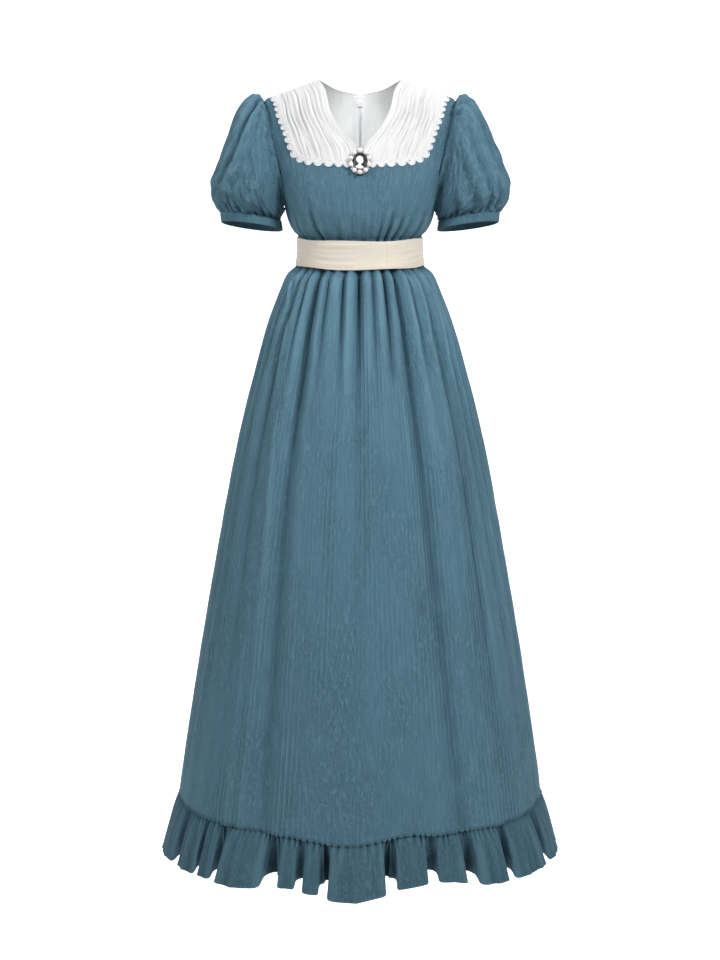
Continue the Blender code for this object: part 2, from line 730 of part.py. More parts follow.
def add_bodice(materials, dress):
    """Bodice front, cut in one, and two backs that meet at the zip."""
    half = half_bodice(False)
    other = mirrored(half)
    rows = [right[:-1] + left[::-1] for left, right in zip(half, other)]
    add_cloth("bodice_front", rows, materials["blue_cloth"], dress)
    add_pair("bodice_back", half_bodice(True), materials["blue_cloth"], dress)


def yoke_point(place, sunk):
    """A point of the yoke's outer face, sunk into a pleat."""
    return body(*place) - normal(*place) * sunk


def half_yoke(faces_back):
    """Rows of points on half a yoke, from the shoulder down, each from the armhole side inwards."""
    table = yoke_table(faces_back)
    neck_table = BACK_NECK_EDGE if faces_back else FRONT_NECK_EDGE

    def outer(t):
        return edge_place(table, YOKE_CORNER * t, faces_back)

    def inner(t):
        return edge_place(neck_table, t, faces_back)

    def shoulder(s):
        return shoulder_place(between(table[0].x, NECK_HALF_WIDTH, s), faces_back)

    def low(s):
        return edge_place(table, between(YOKE_CORNER, 1.0, s), faces_back)

    rows = []
    for t in SHOULDER_ROWS:
        pleat = YOKE_PLEAT_DEPTH * math.sin(math.pi * t) if not faces_back else 0.0
        row = []
        for j, s in enumerate(spread(YOKE_COLUMNS)):
            place = patch(outer, inner, shoulder, low, s, t)
            pleated = j % 2 == 1 and 1 < j < YOKE_COLUMNS - 1
            row.append(yoke_point(place, pleat if pleated else 0.0))
        rows.append(row)
    return rows


def add_yokes(materials, dress):
    """White pleated yoke fronts and plain yoke backs."""
    add_pair("yoke_front", half_yoke(False), materials["white_chiffon"], dress, CHIFFON)
    add_pair("yoke_back", half_yoke(True), materials["white_chiffon"], dress, CHIFFON, flip=True)


def add_lace(materials, dress):
    """Scalloped lace that covers the seam between yoke front and bodice front."""
    rows = [[], []]
    steps = SCALLOPS * SCALLOP_STEPS
    for k in range(steps + 1):
        share = k / steps
        bulge = abs(math.sin(math.pi * k / SCALLOP_STEPS))
        for row, aside in zip(rows, (-LACE_ON_YOKE, LACE_ON_BODICE + SCALLOP_DEPTH * bulge)):
            place = edge_place(FRONT_YOKE_EDGE, share, False, aside)
            point = body(*place) + normal(*place) * (SEAM_GAP + LACE_CLOTH)
            point.x = max(point.x, LACE_HALF_GAP)
            row.append(point)
    add_pair("lace", rows, materials["white_lace"], dress, LACE_CLOTH)


def skirt_fold(turn, level, folds):
    """How far the skirt cloth is drawn in by its gathers and folds."""
    fallen = min(1.0, max(0.0, (SASH_BOTTOM - level) / (SASH_BOTTOM - HEM_SEAM)))
    middle = (SASH_BOTTOM - FOLD_MID_LEVEL) / (SASH_BOTTOM - HEM_SEAM)
    pull = 0.0
    for fold in folds:
        centre = between(fold.turn_top, fold.turn_hem, fallen)
        if fallen <= middle:
            depth = between(fold.depth_top, fold.depth_mid, ease(fallen / middle))
        else:
            depth = between(fold.depth_mid, fold.depth_hem, (fallen - middle) / (1.0 - middle))
        away = (turn - centre) / fold.width
        pull += depth * math.exp(-away * away)
    under_sash = ease((SASH_TOP - level) / (SASH_TOP - SASH_BOTTOM))
    return pull * between(GATHER_AT_WAIST, 1.0, under_sash)


def skirt_point(turn, level):
    """A point of the skirt's outer face."""
    folds = FRONT_SKIRT_FOLDS if abs(turn) <= SIDE_SEAM_TURN else BACK_SKIRT_FOLDS
    return body(turn, level) - outward(turn, level) * skirt_fold(turn, level, folds)


def skirt_rows(start, end, columns):
    """Rows of points on a skirt piece between two turns, from the hem up."""
    levels = [WAIST_SEAM - SEAM_GAP / 2] + SKIRT_LEVELS + [HEM_SEAM]
    return [[skirt_point(between(start, end, s), level) for s in spread(columns)] for level in levels[::-1]]


def add_skirt(materials, dress):
    """Skirt front and two skirt backs, seamed at the sides and at the centre back."""
    cloth = materials["blue_cloth"]
    front = skirt_rows(-FRONT_SIDE_TURN, FRONT_SIDE_TURN, SKIRT_COLUMNS)
    add_cloth("skirt_front", front, cloth, dress)
    left = skirt_rows(BACK_SIDE_TURN, CENTRE_BACK_TURN, SKIRT_COLUMNS // 2)
    for row in left:
        row[-1].x = CENTRE_BACK_HALF_GAP
    right = skirt_rows(CENTRE_BACK_TURN, 360.0 - BACK_SIDE_TURN, SKIRT_COLUMNS // 2)
    for row in right:
        row[0].x = -CENTRE_BACK_HALF_GAP
    add_cloth("skirt_back_left", left, cloth, dress)
    add_cloth("skirt_back_right", right, cloth, dress)


def ruffle_row(waves, first_turn, share):
    """One row of points along the ruffle, at a share of its height."""
    points = []
    level = HEM_SEAM - SEAM_GAP - RUFFLE_HEIGHT * share
    grown = share**RUFFLE_OPENING
    before = first_turn
    for i, wave in enumerate(waves):
        last = i == len(waves) - 1
        for k in range(RUFFLE_STEPS + (1 if last else 0)):
            phase = 2.0 * k / RUFFLE_STEPS - 1.0
            base = between(wave.crest, before if phase < 0.0 else wave.valley, abs(phase))
            pitch = math.radians(wave.valley - before) * body(base, level).xy.length
            angle = math.pi * phase
            out = grown * (RUFFLE_FLARE + wave.depth * math.cos(angle))
            along = grown * RUFFLE_BULGE * pitch * math.sin(2.0 * angle)
            radial = outward(base, level)
            tangent_way = Vector((-radial.y, radial.x, 0.0))
            point = body(base, level) + radial * out + tangent_way * along
            seam = skirt_point(base, HEM_SEAM) - body(base, HEM_SEAM)
            points.append(point + seam * (1.0 - grown))
        before = wave.valley
    return points


def add_ruffle(materials, dress):
    """Gathered ruffle below the skirt, in a front and a back length."""
    cloth = materials["blue_cloth"]
    front = [ruffle_row(FRONT_WAVES, -FRONT_SIDE_TURN, share) for share in RUFFLE_SHARES]
    back = [ruffle_row(BACK_WAVES, BACK_SIDE_TURN, share) for share in RUFFLE_SHARES]
    add_cloth("ruffle_front", front, cloth, dress)
    add_cloth("ruffle_back", back, cloth, dress)


def puff_point(ring, angle, gathered):
    """A point on a sleeve ring. Angle 0 is the outer side and 90 the front."""
    across, forward = math.cos(angle), math.sin(angle)
    middle = Vector((ring.outer_x + ring.inner_x, 0.0, ring.outer_z + ring.inner_z)) / 2
    half = Vector((ring.outer_x - ring.inner_x, 0.0, ring.outer_z - ring.inner_z)) / 2
    depth = ring.front if forward > 0.0 else ring.back
    spoke = half * across + Vector((0.0, -depth * forward, ring.tilt * forward))
    if gathered:
        spoke *= 1.0 - SLEEVE_GATHER_DEPTH * ring.gather / spoke.length
    return middle + Vector((0.0, RIDGE_Y, 0.0)) + spoke


def armhole_point(share, faces_back):
    """Where the sleeve's cloth starts, just clear of the bodice."""
    return bodice_point(*armhole_place(share, faces_back)) + Vector((SLEEVE_START, 0.0, 0.0))


def add_sleeves(materials, dress):
    """Puff sleeves from the armholes to narrow cuffs."""
    apart = [SHOULDER_ROWS[0]] + SHOULDER_ROWS[2:]
    upper = [CORNER_ON_ARMHOLE * share for share in apart]
    lower = [between(CORNER_ON_ARMHOLE, 1.0, share) for share in spread(BODICE_ARMHOLE_ROWS)]
    down = upper + lower[1:]
    start = [armhole_point(share, False) for share in down]
    start += [armhole_point(share, True) for share in down[-2:0:-1]]
    angles = [math.pi * share for share in down]
    angles += [2.0 * math.pi - angle for angle in angles[-2:0:-1]]
    rows = [start]
    for ring in PUFF_RINGS:
        rows.append([puff_point(ring, angle, j % 2 == 1) for j, angle in enumerate(angles)])
    add_pair("sleeve", rows, materials["blue_cloth"], dress, closed=True)
    cuff = [[puff_point(ring, angle, False) for angle in angles] for ring in CUFF_RINGS]
    add_pair("cuff", cuff, materials["blue_cloth"], dress, CUFF_CLOTH, closed=True)


def add_sash(materials, dress):
    """Cream sash round the waist, one strip whose ends lap at the centre back."""
    rows = []
    for share in spread(SASH_ROWS):
        level = between(SASH_BOTTOM, SASH_TOP, share)
        row = []
        for s in spread(SASH_COLUMNS):
            turn = between(SASH_START, SASH_END, s)
            lap = ease((turn - SASH_LAP_START) / (SASH_LAP_FULL - SASH_LAP_START))
            out = SASH_CLEARANCE + SASH_CLOTH + lap * (SASH_CLOTH + SEAM_GAP)
            row.append(body(turn, level) + outward(turn, level) * out)
        rows.append(row)
    add_cloth("sash", rows, materials["cream_satin"], dress, SASH_CLOTH)


def zip_half_gap(level):
    """Half the opening between the two zip tapes, wide only behind the slider."""
    centre_part = BACK_NECK_EDGE[2:]
    return read(centre_part, "level", "x", max(level, centre_part[-1].level))


def centre_back_levels():
    """Levels of the rows of cloth at the centre back, from the top of the zip to its bottom."""
    levels = [read(BACK_NECK_EDGE, "share", "level", share) for share in SHOULDER_ROWS]
    top = edge_place(BACK_YOKE_EDGE, 1.0, True, SEAM_GAP)[1]
    levels += [between(top, ARMPIT, share) for share in spread(BODICE_ARMHOLE_ROWS)]
    levels += BODICE_LOW_LEVELS[-2::-1] + SKIRT_LEVELS
    inner = [level for level in levels if ZIP_BOTTOM < level < ZIP_TOP]
    return [ZIP_TOP] + inner + [ZIP_BOTTOM]


def add_zip_tapes(materials, dress):
    """White zip tapes inside the centre back, one on each back."""
    rows = []
    for level in centre_back_levels():
        row = []
        near = zip_half_gap(level)
        for x in (near, near + ZIP_TAPE_WIDTH):
            turn = turn_at(x, level, True)
            point = bodice_point(turn, level) if level > WAIST_SEAM else skirt_point(turn, level)
            inside = point - normal(turn, level) * (CLOTH + ZIP_TAPE_GAP)
            inside.x = x
            row.append(inside)
        rows.append(row)
    add_pair("zip_tape", rows, materials["white_tape"], dress, ZIP_TAPE_CLOTH)


def frame_at(turn, level, out):
    """Axes at a place on the cloth: x across, y up along the cloth, z out of it."""
    outwards = normal(turn, level)
    across = Vector((math.cos(math.radians(turn)), math.sin(math.radians(turn)), 0.0))
    up = outwards.cross(across).normalized()
    across = up.cross(outwards)
    place = body(turn, level) + outwards * out
    frame = Matrix((across, up, outwards)).transposed().to_4x4()
    frame.translation = place
    return frame


def box_mesh(name, low, high):
    """A box between two corners."""
    mesh = bpy.data.meshes.new(name)
    shape = bmesh.new()
    size = [b - a for a, b in zip(low, high)]
    middle = [(a + b) / 2 for a, b in zip(low, high)]
    matrix = Matrix.Translation(middle) @ Matrix.Diagonal((*size, 1.0))
    bmesh.ops.create_cube(shape, size=1.0, matrix=matrix)
    shape.to_mesh(mesh)
    shape.free()
    return mesh


def prism_mesh(name, outline, low, high):
    """A flat shape between two depths, from its outline taken anticlockwise."""
    count = len(outline)
    points = [(x, y, low) for x, y in outline] + [(x, y, high) for x, y in outline]
    faces = [tuple(range(count))[::-1], tuple(range(count, 2 * count))]
    faces += [(k, (k + 1) % count, (k + 1) % count + count, k + count) for k in range(count)]
    mesh = bpy.data.meshes.new(name)
    mesh.from_pydata(points, [], faces)
    return mesh


def oval_mesh(name, profile, columns):
    """An oval solid turned from a profile of half width, half height and depth, pole to pole."""
    points, faces = [], []
    for half_width, half_height, depth in profile[1:-1]:
        for k in range(columns):
            angle = 2.0 * math.pi * k / columns
            points.append((half_width * math.cos(angle), half_height * math.sin(angle), depth))
    rings = len(profile) - 2
    points += [(0.0, 0.0, profile[0][2]), (0.0, 0.0, profile[-1][2])]
    first, last = rings * columns, rings * columns + 1
    for k in range(columns):
        n = (k + 1) % columns
        faces.append((first, n, k))
        for i in range(rings - 1):
            a, b = i * columns, (i + 1) * columns
            faces.append((a + k, a + n, b + n, b + k))
        end = (rings - 1) * columns
        faces.append((end + k, end + n, last))
    mesh = bpy.data.meshes.new(name)
    mesh.from_pydata(points, [], faces)
    return mesh


def add_cutter(name, mesh, frame, cutters):
    """A hidden shape that only other shapes use."""
    obj = bpy.data.objects.new(name, mesh)
    obj.matrix_world = frame
    obj.hide_render = True
    obj.hide_viewport = True
    cutters.objects.link(obj)
    return obj


def combine(obj, tool, operation):
    """Joins a tool shape to an object, or cuts it away."""
    step = obj.modifiers.new(tool.name, "BOOLEAN")
    step.operation = operation
    step.solver = "EXACT"
    step.object = tool


def add_zip_slider(materials, dress, cutters):
    """Zip slider inside the centre back, with its arch through the opening, and the pull on it."""
    frame = frame_at(CENTRE_BACK_TURN, SLIDER_LEVEL, 0.0)
    half_width, half_length = SLIDER_WIDTH / 2, SLIDER_LENGTH / 2
    low = (-half_width, -half_length, -SLIDER_SUNK - SLIDER_DEPTH)
    high = (half_width, half_length, -SLIDER_SUNK)
    mesh = box_mesh("zip_slider", low, high)
    slider = make_object("zip_slider", mesh, materials["white_enamel"], dress)
    slider.matrix_world = frame
    low = (-SLIDER_NECK / 2, -ARCH_LENGTH / 2, -SLIDER_SUNK - SLIDER_DEPTH / 2)
    high = (SLIDER_NECK / 2, ARCH_LENGTH / 2, ARCH_TOP)
    arch = add_cutter("zip_arch", box_mesh("zip_arch", low, high), frame, cutters)
    low = (-SLIDER_NECK, -ARCH_HOLE_LENGTH / 2, ARCH_HOLE_LOW)
    high = (SLIDER_NECK, ARCH_HOLE_LENGTH / 2, ARCH_HOLE_HIGH)
    hole = add_cutter("zip_arch_hole", box_mesh("zip_arch_hole", low, high), frame, cutters)
    combine(slider, arch, "UNION")
    combine(slider, hole, "DIFFERENCE")

    axis = frame @ Matrix.Translation((0.0, PULL_AXIS_UP, PULL_AXIS_OUT))
    outline = [(-point.half_width, PULL_BAR / 2 - point.down) for point in PULL_OUTLINE]
    outline += [(-x, y) for x, y in outline[::-1]]
    mesh = prism_mesh("zip_pull", outline, -PULL_THICKNESS / 2, PULL_THICKNESS / 2)
    pull = make_object("zip_pull", mesh, materials["white_enamel"], dress)
    pull.matrix_world = axis
    low = (-PULL_EYE_WIDTH / 2, -PULL_BAR / 2 - PULL_EYE_LENGTH, -PULL_THICKNESS)
    high = (PULL_EYE_WIDTH / 2, -PULL_BAR / 2, PULL_THICKNESS)
    eye = add_cutter("zip_pull_eye", box_mesh("zip_pull_eye", low, high), axis, cutters)
    combine(pull, eye, "DIFFERENCE")


def add_brooch(materials, dress):
    """Oval brooch: a dark tray, a white bust in its middle and pearls round it."""
    frame = frame_at(0.0, BROOCH_LEVEL, BROOCH_STANDOFF)
    rim = (CAMEO_HALF_WIDTH, CAMEO_HALF_HEIGHT)
    hollow = (CAMEO_HALF_WIDTH - CAMEO_RIM, CAMEO_HALF_HEIGHT - CAMEO_RIM)
    rim_top = BROOCH_TRAY_DEPTH + CAMEO_FLOOR_DEPTH
    profile = [
        (0.0, 0.0, 0.0),
        (BROOCH_HALF_WIDTH, BROOCH_HALF_HEIGHT, 0.0),
        (BROOCH_HALF_WIDTH, BROOCH_HALF_HEIGHT, BROOCH_TRAY_DEPTH),
        (*rim, BROOCH_TRAY_DEPTH),
        (*rim, rim_top),
        (*hollow, rim_top),
        (*hollow, BROOCH_TRAY_DEPTH),
        (0.0, 0.0, BROOCH_TRAY_DEPTH),
    ]
    mesh = oval_mesh("brooch_tray", profile, 2 * PEARLS)
    tray = make_object("brooch_tray", mesh, materials["dark_metal"], dress)
    tray.matrix_world = frame

    outline = [(point.across * CAMEO_HALF_HEIGHT, point.up * CAMEO_HALF_HEIGHT) for point in BUST_OUTLINE]
    low = BROOCH_TRAY_DEPTH + SEAM_GAP
    bust = prism_mesh("cameo_bust", outline, low, low + BUST_DEPTH)
    make_object("cameo_bust", bust, materials["cameo_white"], dress).matrix_world = frame

    for k in range(PEARLS):
        angle = 2.0 * math.pi * k / PEARLS - math.pi / 2
        shape = bmesh.new()
        bmesh.ops.create_uvsphere(
            shape, u_segments=PEARL_SEGMENTS, v_segments=PEARL_RINGS, radius=PEARL_RADIUS
        )
        mesh = bpy.data.meshes.new(f"pearl_{k + 1:02d}")
        shape.to_mesh(mesh)
        shape.free()
        x = PEARL_RING_HALF_WIDTH * math.cos(angle)
        y = PEARL_RING_HALF_HEIGHT * math.sin(angle)
        z = BROOCH_TRAY_DEPTH + PEARL_LIFT + PEARL_RADIUS
        pearl = make_object(mesh.name, mesh, materials["pearl"], dress)
        pearl.matrix_world = frame @ Matrix.Translation((x, y, z))


def main():
    """Builds the dress."""
    clear_scene()
    dress = make_collection("tiered_maxi_dress")
    cutters = make_collection("cutters")
    materials = make_materials()
    add_bodice(materials, dress)
    add_yokes(materials, dress)
    add_lace(materials, dress)
    add_skirt(materials, dress)
    add_ruffle(materials, dress)
    add_sleeves(materials, dress)
    add_sash(materials, dress)
    add_zip_tapes(materials, dress)
    add_zip_slider(materials, dress, cutters)
    add_brooch(materials, dress)


main()
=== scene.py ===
"""Looks of a Regency style maxi dress, filled out as worn, with nobody in it.

Metres, +Z up, front towards -Y. A place on the dress is a turn and a level. The turn is an angle in
degrees round the upright axis: 0 is the centre front, 90 the wearer's left side (+X), 180 the centre
back. The level is a height before the waist and hem dip a little at the front.
"""

import math
from collections import namedtuple

import bpy
import numpy as np
from mathutils import Matrix, Vector


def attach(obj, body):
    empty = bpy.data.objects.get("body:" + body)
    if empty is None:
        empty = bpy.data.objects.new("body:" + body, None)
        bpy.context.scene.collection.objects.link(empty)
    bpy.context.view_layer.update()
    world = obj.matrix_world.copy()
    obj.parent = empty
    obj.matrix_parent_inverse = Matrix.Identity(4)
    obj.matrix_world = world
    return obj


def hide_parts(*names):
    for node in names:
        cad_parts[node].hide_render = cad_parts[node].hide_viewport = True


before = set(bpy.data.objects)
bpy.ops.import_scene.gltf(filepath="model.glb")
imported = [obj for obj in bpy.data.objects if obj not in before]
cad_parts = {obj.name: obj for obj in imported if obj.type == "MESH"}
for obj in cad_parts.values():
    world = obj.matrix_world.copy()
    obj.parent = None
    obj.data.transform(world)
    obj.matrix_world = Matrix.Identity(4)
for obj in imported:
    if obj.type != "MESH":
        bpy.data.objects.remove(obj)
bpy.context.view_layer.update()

# Thickness of each cloth, and the gaps at seams
CLOTH = 0.0011
CHIFFON = 0.0009
LACE_CLOTH = 0.0007
SASH_CLOTH = 0.0016
CUFF_CLOTH = 0.0018
SEAM_GAP = 0.0003
FACING_GAP = 0.0005
CENTRE_BACK_HALF_GAP = 0.0003

# Heights
WAIST_SEAM = -0.2990
SASH_TOP = -0.2750
SASH_BOTTOM = -0.3235
HEM_SEAM = -1.2900
RUFFLE_HEIGHT = 0.1000
BUST_LEVEL = -0.2150
BLADE_LEVEL = -0.1600
ARMPIT = -0.2220
FRONT_SIDE_TURN = 90.0
BACK_SIDE_TURN = 90.001
CENTRE_BACK_TURN = 180.0
DIP_SHARPNESS = 1.5
TURN_STEP = 0.5
LEVEL_STEP = 0.002
EDGE_STEP = 0.01

# Shoulders
NECK_HALF_WIDTH = 0.0720
SHOULDER_HALF_WIDTH = 0.1650
SHOULDER_SLOPE = 0.3750
SHOULDER_SOFTNESS = 0.0300
RIDGE_Y = 0.0050
CHEST_ROUNDING = 1.60
BACK_ROUNDING = 1.80

# The form under the cloth, ring by ring
Ring = namedtuple("Ring", "level half_width front back squareness")
RINGS = [
    Ring(0.030, 0.1840, 0.1120, 0.0900, 2.50),
    Ring(-0.033, 0.1830, 0.1120, 0.0900, 2.50),
    Ring(-0.060, 0.1760, 0.1120, 0.0905, 2.50),
    Ring(-0.090, 0.1685, 0.1130, 0.0915, 2.50),
    Ring(-0.125, 0.1590, 0.1140, 0.0920, 2.50),
    Ring(-0.160, 0.1500, 0.1160, 0.0925, 2.50),
    Ring(-0.190, 0.1420, 0.1175, 0.0920, 2.45),
    Ring(-0.222, 0.1340, 0.1170, 0.0910, 2.40),
    Ring(-0.240, 0.1300, 0.1130, 0.0900, 2.35),
    Ring(-0.255, 0.1240, 0.1060, 0.0880, 2.30),
    Ring(-0.266, 0.1160, 0.0975, 0.0850, 2.25),
    Ring(-0.2725, 0.1093, 0.0910, 0.0820, 2.25),
    Ring(-0.299, 0.1090, 0.0895, 0.0810, 2.25),
    Ring(-0.3235, 0.1120, 0.0925, 0.0840, 2.20),
    Ring(-0.340, 0.1285, 0.1060, 0.0980, 2.15),
    Ring(-0.372, 0.1430, 0.1190, 0.1110, 2.10),
    Ring(-0.422, 0.1628, 0.1360, 0.1280, 2.05),
    Ring(-0.493, 0.1838, 0.1540, 0.1480, 2.00),
    Ring(-0.637, 0.2199, 0.1840, 0.1780, 2.00),
    Ring(-0.857, 0.2615, 0.2180, 0.2130, 2.00),
    Ring(-1.080, 0.2994, 0.2480, 0.2440, 2.00),
    Ring(-1.290, 0.3310, 0.2720, 0.2680, 2.00),
    Ring(-1.400, 0.3430, 0.2800, 0.2760, 2.00),
]

# How far the cloth hangs lower at the centre front than at the sides
Dip = namedtuple("Dip", "level drop")
DIPS = [
    Dip(0.030, 0.0000),
    Dip(-0.200, 0.0000),
    Dip(-0.275, 0.0035),
    Dip(-0.3235, 0.0040),
    Dip(-0.600, 0.0040),
    Dip(-1.290, 0.0070),
    Dip(-1.400, 0.0000),
]

# The armhole, from the shoulder seam (share 0) to the armpit (share 1)
ArmholePoint = namedtuple("ArmholePoint", "share turn level")
ARMHOLE = [
    ArmholePoint(0.000, 61.5, -0.0330),
    ArmholePoint(0.080, 60.2, -0.0505),
    ArmholePoint(0.250, 59.1, -0.0865),
    ArmholePoint(0.445, 59.9, -0.1295),
    ArmholePoint(0.610, 63.1, -0.1655),
    ArmholePoint(0.725, 67.1, -0.1900),
    ArmholePoint(0.820, 72.7, -0.2080),
    ArmholePoint(0.900, 80.0, -0.2180),
    ArmholePoint(1.000, 90.0, -0.2220),
]

# The share of the armhole where half a bodice's full-width rows end
CORNER_ON_ARMHOLE = 0.54

# The line where white yoke meets blue bodice, from the shoulder seam to the centre
EdgePoint = namedtuple("EdgePoint", "share x level")
FRONT_YOKE_EDGE = [
    EdgePoint(0.00, 0.1490, -0.0277),
    EdgePoint(0.10, 0.1400, -0.0430),
    EdgePoint(0.22, 0.1345, -0.0640),
    EdgePoint(0.36, 0.1240, -0.0880),
    EdgePoint(0.48, 0.1165, -0.1110),
    EdgePoint(0.58, 0.1070, -0.1300),
    EdgePoint(0.68, 0.0870, -0.1375),
    EdgePoint(0.84, 0.0400, -0.1405),
    EdgePoint(1.00, 0.0000, -0.1420),
]
BACK_YOKE_EDGE = [
    EdgePoint(0.00, 0.1490, -0.0277),
    EdgePoint(0.10, 0.1400, -0.0430),
    EdgePoint(0.22, 0.1360, -0.0630),
    EdgePoint(0.36, 0.1300, -0.0860),
    EdgePoint(0.48, 0.1230, -0.1080),
    EdgePoint(0.58, 0.1120, -0.1260),
    EdgePoint(0.68, 0.0910, -0.1330),
    EdgePoint(0.84, 0.0420, -0.1350),
    EdgePoint(1.00, 0.0000, -0.1360),
]
# The share of the yoke edge where its side ends and its lower edge starts
YOKE_CORNER = 0.58

# The neck edge, from the shoulder seam to the centre line and down it to the yoke edge
FRONT_NECK_EDGE = [
    EdgePoint(0.00, 0.0720, 0.0000),
    EdgePoint(0.18, 0.0600, -0.0200),
    EdgePoint(0.38, 0.0530, -0.0500),
    EdgePoint(0.56, 0.0415, -0.0735),
    EdgePoint(0.70, 0.0290, -0.0900),
    EdgePoint(0.92, 0.0005, -0.1280),
    EdgePoint(1.00, 0.0005, -0.1417),
]
BACK_NECK_EDGE = [
    EdgePoint(0.00, 0.0720, 0.0000),
    EdgePoint(0.20, 0.0400, -0.0165),
    EdgePoint(0.40, 0.0014, -0.0270),
    EdgePoint(0.56, 0.0014, -0.0460),
    EdgePoint(0.70, 0.0006, -0.0700),
    EdgePoint(1.00, 0.0006, -0.1357),
]

# Skirt gathers and folds. Each row is a valley, from the waist to the hem, with its depths.
Fold = namedtuple("Fold", "turn_top turn_hem width depth_top depth_mid depth_hem")
FRONT_SKIRT_FOLDS = [
    Fold(-77.0, -76.0, 4.5, 0.0050, 0.0036, 0.0024),
    Fold(-68.0, -66.0, 4.5, 0.0060, 0.0034, 0.0022),
    Fold(-55.0, -52.0, 4.5, 0.0080, 0.0040, 0.0016),
    Fold(-45.0, -43.0, 4.0, 0.0040, 0.0008, 0.0006),
    Fold(-35.5, -32.0, 7.0, 0.0105, 0.0115, 0.0075),
    Fold(-24.0, -21.0, 4.0, 0.0040, 0.0006, 0.0008),
    Fold(-12.0, -10.0, 4.5, 0.0060, 0.0006, 0.0006),
    Fold(-0.5, -2.5, 5.5, 0.0110, 0.0040, 0.0006),
    Fold(9.0, 8.0, 4.0, 0.0040, 0.0006, 0.0010),
    Fold(18.4, 17.0, 4.5, 0.0080, 0.0008, 0.0006),
    Fold(28.7, 33.6, 7.0, 0.0105, 0.0110, 0.0080),
    Fold(40.0, 43.0, 4.0, 0.0040, 0.0008, 0.0008),
    Fold(53.0, 53.0, 4.5, 0.0080, 0.0038, 0.0018),
    Fold(68.0, 66.0, 4.5, 0.0070, 0.0036, 0.0024),
    Fold(77.0, 77.0, 4.5, 0.0050, 0.0034, 0.0024),
]
BACK_SKIRT_FOLDS = [
    Fold(102.5, 103.0, 4.5, 0.0050, 0.0050, 0.0040),
    Fold(112.0, 115.0, 5.0, 0.0080, 0.0080, 0.0050),
    Fold(125.0, 128.0, 4.5, 0.0060, 0.0030, 0.0020),
    Fold(138.0, 141.0, 6.0, 0.0100, 0.0120, 0.0070),
    Fold(150.0, 153.0, 4.5, 0.0060, 0.0030, 0.0020),
    Fold(164.0, 165.0, 5.0, 0.0090, 0.0080, 0.0060),
    Fold(197.0, 194.0, 5.0, 0.0080, 0.0080, 0.0050),
    Fold(209.0, 206.0, 4.5, 0.0060, 0.0030, 0.0020),
    Fold(222.0, 219.0, 6.0, 0.0100, 0.0110, 0.0080),
    Fold(235.0, 232.0, 4.5, 0.0060, 0.0040, 0.0020),
    Fold(248.0, 245.0, 5.0, 0.0080, 0.0080, 0.0050),
    Fold(257.5, 257.0, 4.5, 0.0050, 0.0050, 0.0040),
]
FOLD_MID_LEVEL = -0.60

# Bodice folds that rise from the sash
BodiceFold = namedtuple("BodiceFold", "turn_waist turn_top top_level depth width")
BODICE_FOLDS = [
    BodiceFold(-78.0, -72.0, -0.195, 0.0050, 6.0),
    BodiceFold(-60.0, -56.0, -0.215, 0.0030, 4.0),
    BodiceFold(-34.0, -38.0, -0.195, 0.0050, 3.6),
    BodiceFold(-15.0, -16.0, -0.235, 0.0014, 5.0),
    BodiceFold(2.0, 1.0, -0.225, 0.0014, 5.0),
    BodiceFold(13.5, 15.0, -0.205, 0.0034, 3.0),
    BodiceFold(21.0, 24.0, -0.195, 0.0042, 3.2),
    BodiceFold(29.0, 34.0, -0.205, 0.0040, 3.2),
    BodiceFold(38.0, 43.0, -0.215, 0.0030, 3.4),
    BodiceFold(54.0, 58.0, -0.200, 0.0040, 4.4),
    BodiceFold(72.0, 75.0, -0.200, 0.0050, 6.0),
    BodiceFold(104.0, 106.0, -0.200, 0.0045, 6.0),
    BodiceFold(122.0, 124.0, -0.220, 0.0040, 5.5),
    BodiceFold(141.0, 142.0, -0.200, 0.0050, 5.5),
    BodiceFold(158.0, 158.0, -0.230, 0.0035, 5.0),
    BodiceFold(202.0, 202.0, -0.225, 0.0035, 5.0),
    BodiceFold(220.0, 219.0, -0.195, 0.0050, 5.5),
    BodiceFold(238.0, 236.0, -0.220, 0.0040, 5.5),
    BodiceFold(256.0, 254.0, -0.200, 0.0045, 6.0),
]
FOLD_SPREAD = 0.7

# Hem ruffle. Each row is one outward wave: its crest, the valley after it, its depth, how far it stands
# forward, how much its hem is lifted and the share of its run that its rounded front takes.
Wave = namedtuple("Wave", "crest valley depth forward lift span")
FRONT_WAVES = [
    Wave(-78.0, -66.7, 0.012, 0.000, 0.000, 0.72),
    Wave(-60.5, -54.3, 0.011, 0.000, 0.000, 0.78),
    Wave(-50.6, -47.0, 0.010, 0.000, 0.001, 0.78),
    Wave(-38.0, -26.5, 0.017, 0.002, 0.002, 0.74),
    Wave(-21.5, -17.5, 0.010, -0.010, 0.008, 0.60),
    Wave(-14.4, -11.0, 0.010, -0.006, 0.005, 0.74),
    Wave(-1.0, 9.2, 0.018, 0.004, 0.000, 0.80),
    Wave(15.2, 21.6, 0.013, -0.012, 0.011, 0.76),
    Wave(27.7, 34.8, 0.013, -0.014, 0.013, 0.70),
    Wave(41.3, 47.8, 0.015, 0.002, 0.002, 0.78),
    Wave(58.0, 69.0, 0.015, 0.000, 0.003, 0.80),
    Wave(79.0, 90.0, 0.012, 0.000, 0.000, 0.72),
]
